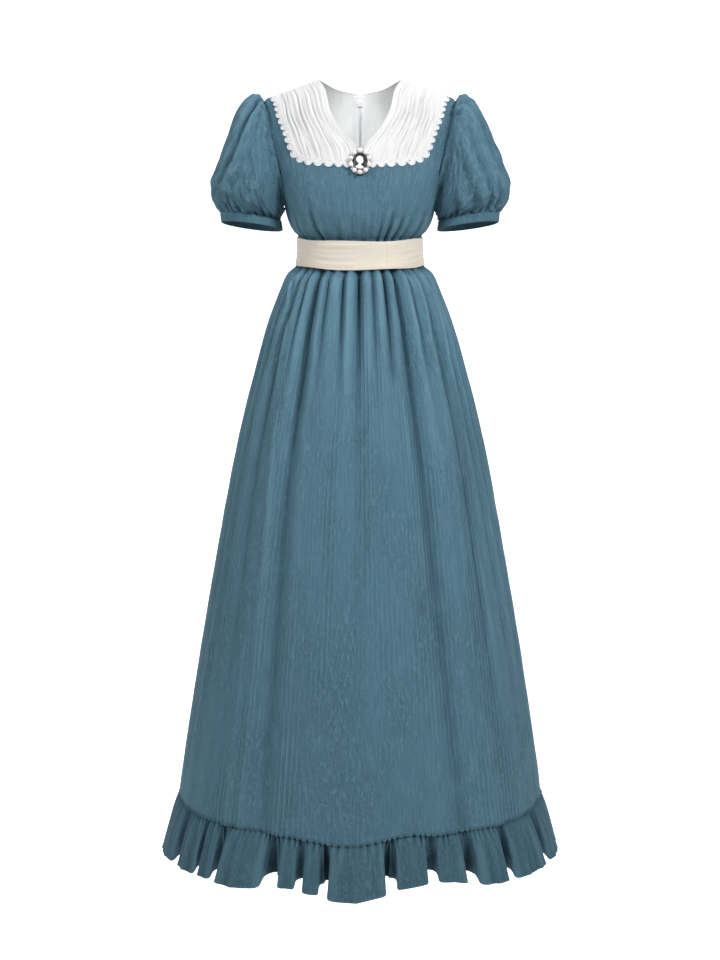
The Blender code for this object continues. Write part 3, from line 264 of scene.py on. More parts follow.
BACK_WAVES = [
    Wave(99.0, 107.0, 0.012, 0.000, 0.000, 0.72),
    Wave(114.0, 121.0, 0.014, -0.004, 0.004, 0.78),
    Wave(129.0, 137.0, 0.014, 0.002, 0.000, 0.76),
    Wave(143.0, 149.0, 0.012, -0.008, 0.007, 0.70),
    Wave(157.0, 165.0, 0.015, 0.002, 0.002, 0.80),
    Wave(173.0, 181.0, 0.015, -0.006, 0.005, 0.74),
    Wave(187.0, 193.0, 0.012, 0.003, 0.000, 0.70),
    Wave(201.0, 209.0, 0.014, -0.008, 0.006, 0.78),
    Wave(217.0, 225.0, 0.015, 0.002, 0.001, 0.80),
    Wave(231.0, 238.0, 0.012, -0.006, 0.006, 0.72),
    Wave(246.0, 254.0, 0.014, 0.001, 0.002, 0.76),
    Wave(262.0, 269.999, 0.012, 0.000, 0.000, 0.72),
]
RUFFLE_FLARE = 0.0110
RUFFLE_BULGE = 0.085
RUFFLE_OPENING = 0.7
RUFFLE_FLATNESS = 0.6
RUFFLE_ROWS = 32
RUFFLE_STEPS_FRONT = 64
RUFFLE_STEPS_BACK = 44
RUFFLE_JOIN_STEPS = 14
RUFFLE_CORNER_LIFT = 0.0115
RUFFLE_VALLEY_DEPTH = 2.6
RUFFLE_CROWDING = 0.7
HEM_STITCH_ROW = 2
LIP_HEIGHTS = (0.0032, 0.0025, 0.0017, 0.0009, 0.0002)
RUFFLE_GATHER_PITCH = 0.0096
RUFFLE_GATHER_DEPTH = 0.0100

# Puff sleeve of the wearer's left side, ring by ring from the armhole to the cuff
Puff = namedtuple("Puff", "place outer_x outer_z inner_x inner_z front back tilt")
PUFF_RINGS = [
    Puff(0.0, 0.1745, -0.0275, 0.1345, -0.2245, 0.0600, 0.0600, 0.0000),
    Puff(1.0, 0.1850, -0.0258, 0.1350, -0.2265, 0.0680, 0.0680, 0.0000),
    Puff(2.0, 0.1990, -0.0345, 0.1358, -0.2290, 0.0760, 0.0750, 0.0010),
    Puff(3.0, 0.2135, -0.0530, 0.1366, -0.2320, 0.0820, 0.0800, 0.0020),
    Puff(4.0, 0.2260, -0.0830, 0.1374, -0.2350, 0.0850, 0.0840, 0.0030),
    Puff(5.0, 0.2400, -0.1170, 0.1382, -0.2380, 0.0860, 0.0860, 0.0040),
    Puff(6.0, 0.2535, -0.1490, 0.1390, -0.2405, 0.0850, 0.0860, 0.0050),
    Puff(7.0, 0.2650, -0.1800, 0.1396, -0.2425, 0.0800, 0.0830, 0.0060),
    Puff(8.0, 0.2635, -0.2030, 0.1399, -0.2440, 0.0720, 0.0750, 0.0070),
    Puff(9.0, 0.2555, -0.2220, 0.1400, -0.2452, 0.0610, 0.0630, 0.0080),
    Puff(10.0, 0.2475, -0.2325, 0.1400, -0.2460, 0.0525, 0.0530, 0.0080),
]
CUFF_RINGS = [
    Puff(0.0, 0.2465, -0.2335, 0.1396, -0.2468, 0.0515, 0.0520, 0.0080),
    Puff(1.0, 0.2450, -0.2495, 0.1374, -0.2635, 0.0510, 0.0515, 0.0080),
]
SLEEVE_START = -0.0008
SLEEVE_TUCK_PLACE = 0.10
SLEEVE_TUCK = 0.0008

# Scalloped lace over the yoke edge
SCALLOPS = 17

# Sash, with its ends lapped at the centre back
SASH_START = -186.0
SASH_LAP_START = 166.0
SASH_LAP_FULL = 172.0
SASH_END = 188.0
SASH_CLEARANCE = 0.0008

# Zip at the centre back
ZIP_TOP = -0.0274
ZIP_BOTTOM = -0.4300
ZIP_TAPE_GAP = 0.0008
ZIP_TAPE_WIDTH = 0.0100
ZIP_TAPE_CLOTH = 0.0008

# Brooch at the point of the neck
BROOCH_LEVEL = -0.1434
BROOCH_STANDOFF = 0.0020
BROOCH_TRAY_DEPTH = 0.0016
BROOCH_HALF_HEIGHT = 0.0200
BROOCH_HALF_WIDTH = 0.0172
CAMEO_HALF_HEIGHT = 0.0142
CAMEO_HALF_WIDTH = 0.0108
PEARLS = 10
PEARL_RADIUS = 0.0041
PEARL_RING_HALF_HEIGHT = 0.0192
PEARL_RING_HALF_WIDTH = 0.0164
PEARL_LIFT = 0.0003


def ease(value):
    """A smooth step from 0 to 1, held outside that range."""
    value = np.clip(value, 0.0, 1.0)
    return value * value * (3.0 - 2.0 * value)


def between(start, end, share):
    """A value between two values."""
    return start + (end - start) * share


def bump(value, centre, width):
    """A soft hump of height 1."""
    return np.exp(-(((value - centre) / width) ** 2))


def read(rows, key, column, values):
    """A table's column at given values of its key, on a smooth curve that never overshoots."""
    keys = np.array([getattr(row, key) for row in rows])
    data = np.array([getattr(row, column) for row in rows])
    if keys[0] > keys[-1]:
        keys, data = keys[::-1], data[::-1]
    run = np.diff(keys)
    slopes = np.diff(data) / run
    before, after = slopes[:-1], slopes[1:]
    same_way = before * after > 0.0
    total = np.where(same_way, before + after, 1.0)
    middle = np.where(same_way, 2.0 * before * after / total, 0.0)
    tangents = np.concatenate([slopes[:1], middle, slopes[-1:]])
    values = np.asarray(values, float)
    at = np.clip(np.searchsorted(keys, values, side="right") - 1, 0, len(run) - 1)
    t = np.clip((values - keys[at]) / run[at], 0.0, 1.0)
    return (
        (2 * t**3 - 3 * t**2 + 1) * data[at]
        + (t**3 - 2 * t**2 + t) * tangents[at] * run[at]
        + (3 * t**2 - 2 * t**3) * data[at + 1]
        + (t**3 - t**2) * tangents[at + 1] * run[at]
    )


def hum(value, seed, low, high, count=7):
    """An uneven ripple of about -1 to 1. Low and high are its fewest and most waves in one unit of value."""
    draw = np.random.RandomState(seed)
    total = 0.0
    for _ in range(count):
        frequency = draw.uniform(low, high) * 2.0 * math.pi
        start = draw.uniform(0.0, 2.0 * math.pi)
        total = total + draw.uniform(0.5, 1.0) * np.sin(value * frequency + start)
    return total / math.sqrt(count)


def cloudy(u, v, seed, size, count=9):
    """Uneven soft patches of about -1 to 1, each about as wide as the given size."""
    draw = np.random.RandomState(seed)
    total = 0.0
    for _ in range(count):
        way = draw.uniform(0.0, 2.0 * math.pi)
        pitch = size * draw.uniform(1.2, 3.2)
        start = draw.uniform(0.0, 2.0 * math.pi)
        total = total + np.sin((u * math.cos(way) + v * math.sin(way)) * 2.0 * math.pi / pitch + start)
    return total / math.sqrt(count)


def ridge(x):
    """Height of the shoulder line at a distance from the centre."""
    rise = SHOULDER_SLOPE * math.hypot(NECK_HALF_WIDTH, SHOULDER_SOFTNESS)
    return rise - SHOULDER_SLOPE * np.hypot(x, SHOULDER_SOFTNESS)


def rounding(x, level, faces_back):
    """Share of the full depth that the form has reached on its way down from the shoulder line."""
    full = np.where(faces_back, BLADE_LEVEL, BUST_LEVEL)
    power = np.where(faces_back, BACK_ROUNDING, CHEST_ROUNDING)
    top = ridge(x)
    fallen = np.clip((top - level) / (top - full), 0.0, 1.0)
    return (1.0 - (1.0 - fallen) ** power) ** (1.0 / power)


def dip(turn, level):
    """How far the cloth at this turn hangs below its level."""
    facing = np.maximum(0.0, np.cos(np.radians(turn)))
    return read(DIPS, "level", "drop", level) * facing**DIP_SHARPNESS


def body(turn, level):
    """Points on the smooth form, before any fold."""
    turn, level = np.broadcast_arrays(np.asarray(turn, float), np.asarray(level, float))
    across, along = np.sin(np.radians(turn)), np.cos(np.radians(turn))
    roundness = 2.0 / read(RINGS, "level", "squareness", level)
    half_width = read(RINGS, "level", "half_width", level)
    x = half_width * np.sign(across) * np.abs(across) ** roundness
    faces_back = along < 0.0
    front, back = read(RINGS, "level", "front", level), read(RINGS, "level", "back", level)
    depth = np.where(faces_back, back, front)
    reach = depth * np.abs(along) ** roundness * rounding(x, level, faces_back)
    reach = np.maximum(reach, FACING_GAP / 2)
    y = RIDGE_Y + np.where(faces_back, reach, -reach)
    return np.stack([x, y, level - dip(turn, level)], axis=-1)


def turn_at(x, level, faces_back=False):
    """The turn at which the form has this x at this level."""
    share = np.minimum(1.0, np.abs(x) / read(RINGS, "level", "half_width", level))
    squareness = read(RINGS, "level", "squareness", level)
    turn = np.degrees(np.arcsin(share ** (squareness / 2.0)))
    if faces_back:
        turn = 180.0 - turn
    return np.where(np.asarray(x) < 0.0, -turn, turn)


def unit(vectors):
    """Vectors of length 1."""
    return vectors / np.maximum(np.linalg.norm(vectors, axis=-1, keepdims=True), 1e-12)


def round_angles(count):
    """Even angles round a circle."""
    return 2.0 * math.pi * np.arange(count) / count


# The wearer's sides, with the way that x runs on each
SIDES = (("left", 1.0), ("right", -1.0))


def on_side(values, sign):
    """Points or places of the wearer's left, mirrored if the sign is -1."""
    return np.concatenate([values[..., :1] * sign, values[..., 1:]], axis=-1)


def outward(turn, level):
    """Level directions that point out of the form."""
    run = body(turn + TURN_STEP, level) - body(turn - TURN_STEP, level)
    return unit(np.stack([run[..., 1], -run[..., 0], np.zeros_like(run[..., 0])], axis=-1))


def normal(turn, level):
    """Directions that point straight out of the form, with its slope."""
    here = body(turn, level)
    run = body(turn + TURN_STEP, level) - body(turn - TURN_STEP, level)
    above = level + LEVEL_STEP
    top = np.where(level > ARMPIT, np.minimum(above, ridge(here[..., 0])), above)
    rise = body(turn, top) - body(turn, level - LEVEL_STEP)
    return unit(np.cross(run, rise))


def spread(count):
    """Even shares from 0 to 1."""
    return np.linspace(0.0, 1.0, count + 1)


def place(turn, level):
    """Places, each a turn and a level, in one array."""
    turn, level = np.broadcast_arrays(np.asarray(turn, float), np.asarray(level, float))
    return np.stack([turn, level], axis=-1)


def patch(left, right, low, top, s, t):
    """Places inside four edges, in rows of s for each t. Left and right take t, low and top take s."""
    across_share, up_share = s[None, :, None], t[:, None, None]
    across = between(left(t)[:, None], right(t)[:, None], across_share)
    along = between(low(s)[None], top(s)[None], up_share)
    low_corners, top_corners = (
        between(left(np.array([end]))[0], right(np.array([end]))[0], across_share) for end in (0.0, 1.0)
    )
    return across + along - between(low_corners, top_corners, up_share)


def armhole_place(share, faces_back):
    """Places on the armhole edge, on the wearer's left."""
    turn = read(ARMHOLE, "share", "turn", share)
    level = read(ARMHOLE, "share", "level", share)
    level = np.minimum(level, ridge(body(turn, level)[..., 0]))
    return place(FRONT_SIDE_TURN + BACK_SIDE_TURN - turn if faces_back else turn, level)


def edge_place(table, share, faces_back, aside=0.0):
    """Places on a yoke or neck edge, or a distance aside from it towards the bodice."""
    share = np.asarray(share, float)
    low, high = np.maximum(0.0, share - EDGE_STEP), np.minimum(1.0, share + EDGE_STEP)
    run = read(table, "share", "x", high) - read(table, "share", "x", low)
    fall = read(table, "share", "level", high) - read(table, "share", "level", low)
    length = np.hypot(run, fall)
    x = read(table, "share", "x", share) - aside * fall / length
    level = read(table, "share", "level", share) + aside * run / length
    level = np.minimum(level, ridge(x))
    return place(turn_at(x, level, faces_back), level)


def shoulder_place(x, faces_back):
    """Places on the shoulder line."""
    return place(turn_at(x, ridge(x), faces_back), ridge(x))


def yoke_table(faces_back):
    """The yoke edge of the front or of the back."""
    return BACK_YOKE_EDGE if faces_back else FRONT_YOKE_EDGE


def grid(points, marks, closed=False, flip=False):
    """Vertices, faces and corner marks of a sheet through rows of points. A point of NaN leaves a hole.
    Marks are each point's place on the flat cloth in metres, with one column more if the sheet is closed."""
    rows, columns = points.shape[:2]
    numbers = np.arange(rows * columns).reshape(rows, columns)
    if closed:
        numbers = np.concatenate([numbers, numbers[:, :1]], axis=1)
    quads = np.stack([numbers[:-1, :-1], numbers[:-1, 1:], numbers[1:, 1:], numbers[1:, :-1]], axis=-1)
    corner_marks = np.stack([marks[:-1, :-1], marks[:-1, 1:], marks[1:, 1:], marks[1:, :-1]], axis=-2)
    quads, corner_marks = quads.reshape(-1, 4), corner_marks.reshape(-1, 4, 2)
    flat = points.reshape(-1, 3)
    whole = ~np.isnan(flat[:, 0])[quads]
    keep = whole.all(axis=1)
    quads, corner_marks = quads[keep], corner_marks[keep]
    if flip:
        quads, corner_marks = quads[:, ::-1], corner_marks[:, ::-1]
    used, quads = np.unique(quads, return_inverse=True)
    return flat[used], quads.reshape(-1, 4), corner_marks


def point_normals(points, quads):
    """Directions straight out of a sheet at its points."""
    a, b, c, d = (points[quads[:, k]] for k in range(4))
    across = np.cross(c - a, d - b)
    normals = np.zeros_like(points)
    for k in range(4):
        for axis in range(3):
            normals[:, axis] += np.bincount(quads[:, k], across[:, axis], len(points))
    return unit(normals)


def wall_faces(quads, marks, count):
    """Faces and corner marks of a sheet, of the same sheet behind it and of the rim between the two."""
    starts, ends = quads.reshape(-1), np.roll(quads, -1, axis=1).reshape(-1)
    start_marks, end_marks = marks.reshape(-1, 2), np.roll(marks, -1, axis=1).reshape(-1, 2)
    rim = ~np.isin(starts * count + ends, ends * count + starts)
    rim_quads = np.stack([ends[rim], starts[rim], starts[rim] + count, ends[rim] + count], axis=-1)
    rim_marks = np.stack([end_marks[rim], start_marks[rim], start_marks[rim], end_marks[rim]], axis=-2)
    faces = np.concatenate([quads, quads[:, ::-1] + count, rim_quads])
    return faces, np.concatenate([marks, marks[:, ::-1], rim_marks])


def hollows(points, quads, reach):
    """How far each point of a sheet lies below the mean of the points around it, in metres."""
    edges = np.concatenate([quads[:, [k, (k + 1) % 4]] for k in range(4)])
    starts = np.concatenate([edges[:, 0], edges[:, 1]])
    ends = np.concatenate([edges[:, 1], edges[:, 0]])
    near = np.maximum(np.bincount(starts, minlength=len(points)), 1)[:, None]
    mean = points.copy()
    for _ in range(reach):
        total = [np.bincount(starts, mean[ends, axis], len(points)) for axis in range(3)]
        mean = 0.5 * mean + 0.5 * np.stack(total, axis=-1) / near
    return ((mean - points) * point_normals(points, quads)).sum(axis=-1)


def plain_mesh(name, points, faces):
    """A mesh with flat faces."""
    mesh = bpy.data.meshes.new(name)
    mesh.from_pydata(np.asarray(points).tolist(), [], [list(face) for face in faces])
    return mesh


def make_mesh(name, points, faces, marks=None, sharp=50.0):
    """A smooth shaded mesh, with the cloth marks as its map. Sharp is the angle of its hard edges, in degrees."""
    mesh = plain_mesh(name, points, faces)
    mesh.shade_smooth()
    mesh.set_sharp_from_angle(angle=math.radians(sharp))
    if marks is not None:
        layer = mesh.uv_layers.new(name="cloth")
        layer.data.foreach_set("uv", np.asarray(marks, np.float32).reshape(-1))
    return mesh


# A material with the slot that it belongs to, and the slot of each material
Finish = namedtuple("Finish", "material slot")
SLOTS = {
    "blue_crepe": "blue_cloth",
    "skirt_crepe": "blue_cloth",
    "ruffle_crepe": "blue_cloth",
    "blue_thread": "blue_cloth",
    "white_chiffon": "white_chiffon",
    "single_chiffon": "white_chiffon",
    "white_thread": "white_chiffon",
    "lace_cotton": "white_lace",
    "cream_satin": "cream_satin",
    "white_tape": "white_tape",
    "grey_thread": "white_tape",
    "white_enamel": "white_enamel",
    "dark_metal": "dark_metal",
    "aged_silver": "dark_metal",
    "grey_crystal": "dark_metal",
    "cameo_resin": "cameo_white",
    "pearl": "pearl",
}


def add_piece(name, mesh, finish, replaced=(), body_name="dress"):
    """A shown piece that rides on a body."""
    material, slot = finish
    mesh.materials.append(material)
    obj = bpy.data.objects.new(name, mesh)
    bpy.context.scene.collection.objects.link(obj)
    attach(obj, body_name)
    if replaced:
        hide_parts(*replaced)
    return obj


def add_cloth(node, kind, points, marks, finish, thickness, closed=False, flip=False, reach=0):
    """A wall of cloth, in place of a node, behind rows of points on its outer face.
    With a reach, each point keeps the depth of its hollow, in millimetres, from which its material paints shade in
    folds and, on blue crepe, highlights on ridges."""
    sheet, quads, corner_marks = grid(points, marks, closed, flip)
    wall = np.concatenate([sheet, sheet - point_normals(sheet, quads) * thickness])
    name = f"{node}_{kind}"
    mesh = make_mesh(name, wall, *wall_faces(quads, corner_marks, len(sheet)))
    if reach:
        depth = hollows(sheet, quads, reach)
        layer = mesh.attributes.new("hollow", "FLOAT", "POINT")
        layer.data.foreach_set("value", np.concatenate([depth, depth]).astype(np.float32) * 1000.0)
    return add_piece(name, mesh, finish, [node])


# How many rows of points around it set a point's depth in a fold, from which shade and highlights are painted
SKIRT_REACH = 30
RUFFLE_REACH = 60
BODICE_REACH = 60
SLEEVE_REACH = 20
YOKE_REACH = 10

# The cloth's map, in metres of cloth: for a degree of turn, round a sleeve or cuff, along it, and along the
# lace. Along the ruffle it is the run times the fullness.
SKIRT_DEGREE = 0.0064
BODICE_DEGREE = 0.0024
SASH_DEGREE = 0.0019
SLEEVE_GIRTH = 0.52
SLEEVE_PLACE_LENGTH = 0.026
CUFF_GIRTH = 0.31
CUFF_LENGTH = 0.0167
LACE_LENGTH = 0.24
RUFFLE_FULLNESS = 1.6

# Finishes. Colours are linear red, green, blue.
BLUE = (0.078, 0.168, 0.226)
BLUE_DEEP = (0.060, 0.134, 0.184)
BLUE_PALE = (0.116, 0.232, 0.300)
WHITE_CLOTH = (0.900, 0.900, 0.898)
WHITE_SHADE = (0.840, 0.842, 0.846)
CREAM = (0.700, 0.630, 0.530)
CREAM_PALE = (0.770, 0.712, 0.612)
LACE_WHITE = (0.90, 0.90, 0.90)
LACE_GREY = (0.80, 0.80, 0.81)
TAPE_WHITE = (0.94, 0.94, 0.94)
TAPE_GREY = (0.90, 0.90, 0.91)

# Painted shade: what is left of each colour deep in a fold, where shade falls
BLUE_PAINTED_FOLD_SHADE = (0.36, 0.39, 0.42)
WHITE_PAINTED_FOLD_SHADE = (0.60, 0.61, 0.63)

# The blue crepe: levels where its stripes come in, relief depths in metres and the share of each in the tone
STRIPES_FROM = -0.36
STRIPES_FULL = -0.66
STRIPE_RELIEF, STRIPE_TONE = 0.0022, 0.36
BLISTER_RELIEF, BLISTER_TONE = 0.0011, 0.18
THREAD_RELIEF, THREAD_TONE = 0.0003, 0.50
GRAIN_RELIEF, GRAIN_TONE = 0.0003, 0.50


def new_material(name):
    """A material and its shader node."""
    material = bpy.data.materials.new(name)
    material.use_nodes = True
    return material, material.node_tree.nodes["Principled BSDF"]


def link(material, start, end):
    """Joins an output socket to an input socket."""
    material.node_tree.links.new(start, end)


def cloth_place(material):
    """The socket that gives a point's place on the flat cloth, in metres."""
    node = material.node_tree.nodes.new("ShaderNodeUVMap")
    node.uv_map = "cloth"
    return node.outputs["UV"]


def object_place(material):
    """The socket that gives a point's place in its object's axes, in metres."""
    return material.node_tree.nodes.new("ShaderNodeTexCoord").outputs["Object"]


def second_part(material, source):
    """The second number of a place."""
    node = material.node_tree.nodes.new("ShaderNodeSeparateXYZ")
    link(material, source, node.inputs["Vector"])
    return node.outputs["Y"]


def scaled(material, source, across, along, third=1.0):
    """A place with each direction scaled."""
    node = material.node_tree.nodes.new("ShaderNodeMapping")
    node.inputs["Scale"].default_value = (across, along, third)
    link(material, source, node.inputs["Vector"])
    return node.outputs["Vector"]


def noise(material, source, detail=3.0, roughness=0.5, distortion=0.0):
    """A noise value at a scaled place."""
    node = material.node_tree.nodes.new("ShaderNodeTexNoise")
    node.inputs["Scale"].default_value = 1.0
    node.inputs["Detail"].default_value = detail
    node.inputs["Roughness"].default_value = roughness
    node.inputs["Distortion"].default_value = distortion
    link(material, source, node.inputs["Vector"])
    return node.outputs["Fac"]


def ripple(material, source, direction, distortion=0.0, detail=0.0):
    """Bands across a direction of the scaled place, in which a wave takes 0.3 units."""
    node = material.node_tree.nodes.new("ShaderNodeTexWave")
    node.bands_direction = direction
    node.wave_profile = "SIN"
    node.inputs["Scale"].default_value = 1.0
    node.inputs["Distortion"].default_value = distortion
    node.inputs["Detail"].default_value = detail
    link(material, source, node.inputs["Vector"])
    return node.outputs["Fac"]


def spanned(material, source, low, high, new_low=0.0, new_high=1.0):
    """A value stretched from one range to another, and held at its ends."""
    node = material.node_tree.nodes.new("ShaderNodeMapRange")
    for socket, value in zip(("From Min", "From Max", "To Min", "To Max"), (low, high, new_low, new_high)):
        node.inputs[socket].default_value = value
    link(material, source, node.inputs["Value"])
    return node.outputs["Result"]


def sums(material, operation, first, second):
    """Two values added, subtracted, multiplied or raised to a power. Either may be a number."""
    node = material.node_tree.nodes.new("ShaderNodeMath")
    node.operation = operation
    for socket, value in zip(node.inputs[:2], (first, second)):
        if isinstance(value, (int, float)):
            socket.default_value = value
        else:
            link(material, value, socket)
    return node.outputs["Value"]


def mixed(material, *parts):
    """Values added up, each times its share."""
    total = None
    for value, share in parts:
        part = sums(material, "MULTIPLY", value, share)
        total = part if total is None else sums(material, "ADD", total, part)
    return total


def ramp(material, source, stops):
    """Colours along a value, from a list of a place and a colour."""
    node = material.node_tree.nodes.new("ShaderNodeValToRGB")
    elements = node.color_ramp.elements
    for k, (at, colour) in enumerate(stops):
        element = elements[k] if k < len(elements) else elements.new(at)
        element.position = at
        element.color = (*colour, 1.0)
    link(material, source, node.inputs["Fac"])
    return node.outputs["Color"]


def relief(material, *layers):
    """A surface relief of layers, each a height value, its depth in metres and its strength."""
    under = None
    for height, depth, strength in layers:
        node = material.node_tree.nodes.new("ShaderNodeBump")
        node.inputs["Strength"].default_value = strength
        node.inputs["Distance"].default_value = depth
        link(material, height, node.inputs["Height"])
        if under is not None:
            link(material, under, node.inputs["Normal"])
        under = node.outputs["Normal"]
    return under


def wire(material, shader, colour, surface, roughness):
    """Joins a colour, a surface relief and a roughness to a shader."""
    for source, socket in ((colour, "Base Color"), (surface, "Normal"), (roughness, "Roughness")):
        link(material, source, shader.inputs[socket])


def let_through(material, shader, colour, share):
    """Lets a share of the light through thin cloth."""
    nodes = material.node_tree.nodes
    through, both = nodes.new("ShaderNodeBsdfTranslucent"), nodes.new("ShaderNodeMixShader")
    link(material, colour, through.inputs["Color"])
    both.inputs["Fac"].default_value = share
    link(material, shader.outputs["BSDF"], both.inputs[1])
    link(material, through.outputs["BSDF"], both.inputs[2])
    link(material, both.outputs["Shader"], nodes["Material Output"].inputs["Surface"])


def hollow_depth(material):
    """The socket that gives how deep a point lies in a fold, in millimetres, from which shade and highlights are
    painted.
    """
    node = material.node_tree.nodes.new("ShaderNodeAttribute")
    node.attribute_name = "hollow"
    return node.outputs["Fac"]


def painted_fold_shade(material, colour, share, tint):
    """Painted shade in folds: a colour multiplied by a shade tint, by a share."""
    node = material.node_tree.nodes.new("ShaderNodeMix")
    node.data_type, node.blend_type = "RGBA", "MULTIPLY"
    link(material, share, node.inputs["Factor"])
    link(material, colour, node.inputs[6])
    node.inputs[7].default_value = (*tint, 1.0)
    return node.outputs[2]


def blue_cloth(name, shade, deepest):
    """Matt blue crepe with blistered crinkles in places and faint stripes along the warp, with painted shade in
    its folds and painted highlights along its ridges.
    The shade is a factor on its dyes, so that one crepe gives lit and shaded copies: painted light and painted
    shade for how light falls on each part. Deepest is how far the painted shade darkens it in the deepest fold."""
    material, shader = new_material(name)
    here = cloth_place(material)
    below_sash = spanned(material, second_part(material, here), STRIPES_FROM, STRIPES_FULL)
    patches = noise(material, scaled(material, here, 8.0, 1.3), detail=2.0)
    striped = sums(material, "MULTIPLY", spanned(material, patches, 0.48, 0.62, 0.05, 1.0), below_sash)
    bands = ripple(material, scaled(material, here, 27.0, 0.7), "X", distortion=1.5, detail=2.0)
    thin = sums(material, "POWER", bands, 2.6)
    stripe = sums(material, "MULTIPLY", sums(material, "SUBTRACT", thin, 0.30), striped)
    other_patches = noise(material, scaled(material, here, 8.0, 5.5), detail=2.0)
    blistered = spanned(material, other_patches, 0.42, 0.64, 0.25, 1.0)
    spots = noise(material, scaled(material, here, 190.0, 90.0), roughness=0.55, distortion=0.7)
    raised_spots = sums(material, "SUBTRACT", spanned(material, spots, 0.46, 0.62), 0.14)
    blister = sums(material, "MULTIPLY", raised_spots, blistered)
    threads = noise(material, scaled(material, here, 300.0, 26.0), detail=4.0, roughness=0.6)
    grain = noise(material, scaled(material, here, 850.0, 700.0), detail=2.0)
    hollow = hollow_depth(material)
    tone = mixed(
        material, (stripe, STRIPE_TONE), (blister, BLISTER_TONE), (threads, THREAD_TONE), (grain, GRAIN_TONE)
    )
    # Painted highlight: ridges, which stand above the cloth around them, are painted paler
    tone = sums(material, "ADD", tone, spanned(material, hollow, -0.4, -2.4, 0.0, 0.20))
    dyes = ((0.34, BLUE_DEEP), (0.50, BLUE), (0.70, BLUE_PALE))
    colour = ramp(material, tone, [(at, tuple(shade * part for part in dye)) for at, dye in dyes])
    # Painted shade: the colour darkens the deeper the point lies in a fold
    folded = spanned(material, hollow, 0.20, 3.0, 0.0, deepest)
    colour = painted_fold_shade(material, colour, folded, BLUE_PAINTED_FOLD_SHADE)
    surface = relief(
        material,
        (stripe, STRIPE_RELIEF, 1.0),
        (blister, BLISTER_RELIEF, 1.0),
        (threads, THREAD_RELIEF, 0.9),
        (grain, GRAIN_RELIEF, 0.9),
    )
    wire(material, shader, colour, surface, spanned(material, threads, 0.3, 0.7, 0.70, 0.86))
    shader.inputs["Specular IOR Level"].default_value = 0.12
    return material


def white_chiffon(name, share):
    """Fine white chiffon with a soft crepe grain and painted shade in its folds, which lets a share of the light
    through.
    """
    material, shader = new_material(name)
    here = cloth_place(material)
    weave = noise(material, scaled(material, here, 1100.0, 900.0), detail=2.0)
    creases = noise(material, scaled(material, here, 150.0, 22.0), roughness=0.6)
    colour = ramp(material, creases, [(0.30, WHITE_SHADE), (0.58, WHITE_CLOTH)])
    # Painted shade: the colour greys the deeper the point lies in a fold
    folded = spanned(material, hollow_depth(material), 0.02, 0.42, 0.0, 0.85)
    colour = painted_fold_shade(material, colour, folded, WHITE_PAINTED_FOLD_SHADE)
    surface = relief(material, (creases, 0.0007, 0.9), (weave, 0.0001, 0.8))
    wire(material, shader, colour, surface, spanned(material, weave, 0.3, 0.7, 0.8, 0.95))
    shader.inputs["Specular IOR Level"].default_value = 0.2
    let_through(material, shader, colour, share)
    return material


def lace_cotton():
    """White lace yarn with a tight twist."""
    material, shader = new_material("lace_cotton")
    twist = noise(material, scaled(material, object_place(material), 1500.0, 1500.0, 1500.0))
    colour = ramp(material, twist, [(0.25, LACE_GREY), (0.6, LACE_WHITE)])
    surface = relief(material, (twist, 0.0003, 0.8))
    wire(material, shader, colour, surface, spanned(material, twist, 0.3, 0.7, 0.7, 0.9))
    shader.inputs["Specular IOR Level"].default_value = 0.3
    return material


def cream_satin():
    """Cream sash cloth with a soft sheen and a fine weave."""
    material, shader = new_material("cream_satin")
    here = cloth_place(material)
    weave = noise(material, scaled(material, here, 260.0, 1500.0), detail=2.0)
    slubs = noise(material, scaled(material, here, 22.0, 420.0), roughness=0.6)
    colour = ramp(material, mixed(material, (slubs, 0.7), (weave, 0.3)), [(0.32, CREAM), (0.66, CREAM_PALE)])
    surface = relief(material, (slubs, 0.0003, 0.8), (weave, 0.0001, 0.8))
    wire(material, shader, colour, surface, spanned(material, slubs, 0.3, 0.7, 0.5, 0.66))
    shader.inputs["Specular IOR Level"].default_value = 0.35
    shader.inputs["Sheen Weight"].default_value = 0.15
    return material


def white_tape():
    """White woven zip tape with a herringbone rib."""
    material, shader = new_material("white_tape")
    here = cloth_place(material)
    rib = ripple(material, scaled(material, here, 260.0, 260.0), "DIAGONAL")
    threads = noise(material, scaled(material, here, 2600.0, 900.0), detail=2.0)
    colour = ramp(material, mixed(material, (rib, 0.5), (threads, 0.5)), [(0.2, TAPE_GREY), (0.7, TAPE_WHITE)])
    surface = relief(material, (rib, 0.00015, 0.8), (threads, 0.0001, 0.8))
    wire(material, shader, colour, surface, spanned(material, threads, 0.3, 0.7, 0.6, 0.8))
    let_through(material, shader, colour, 0.12)
    return material


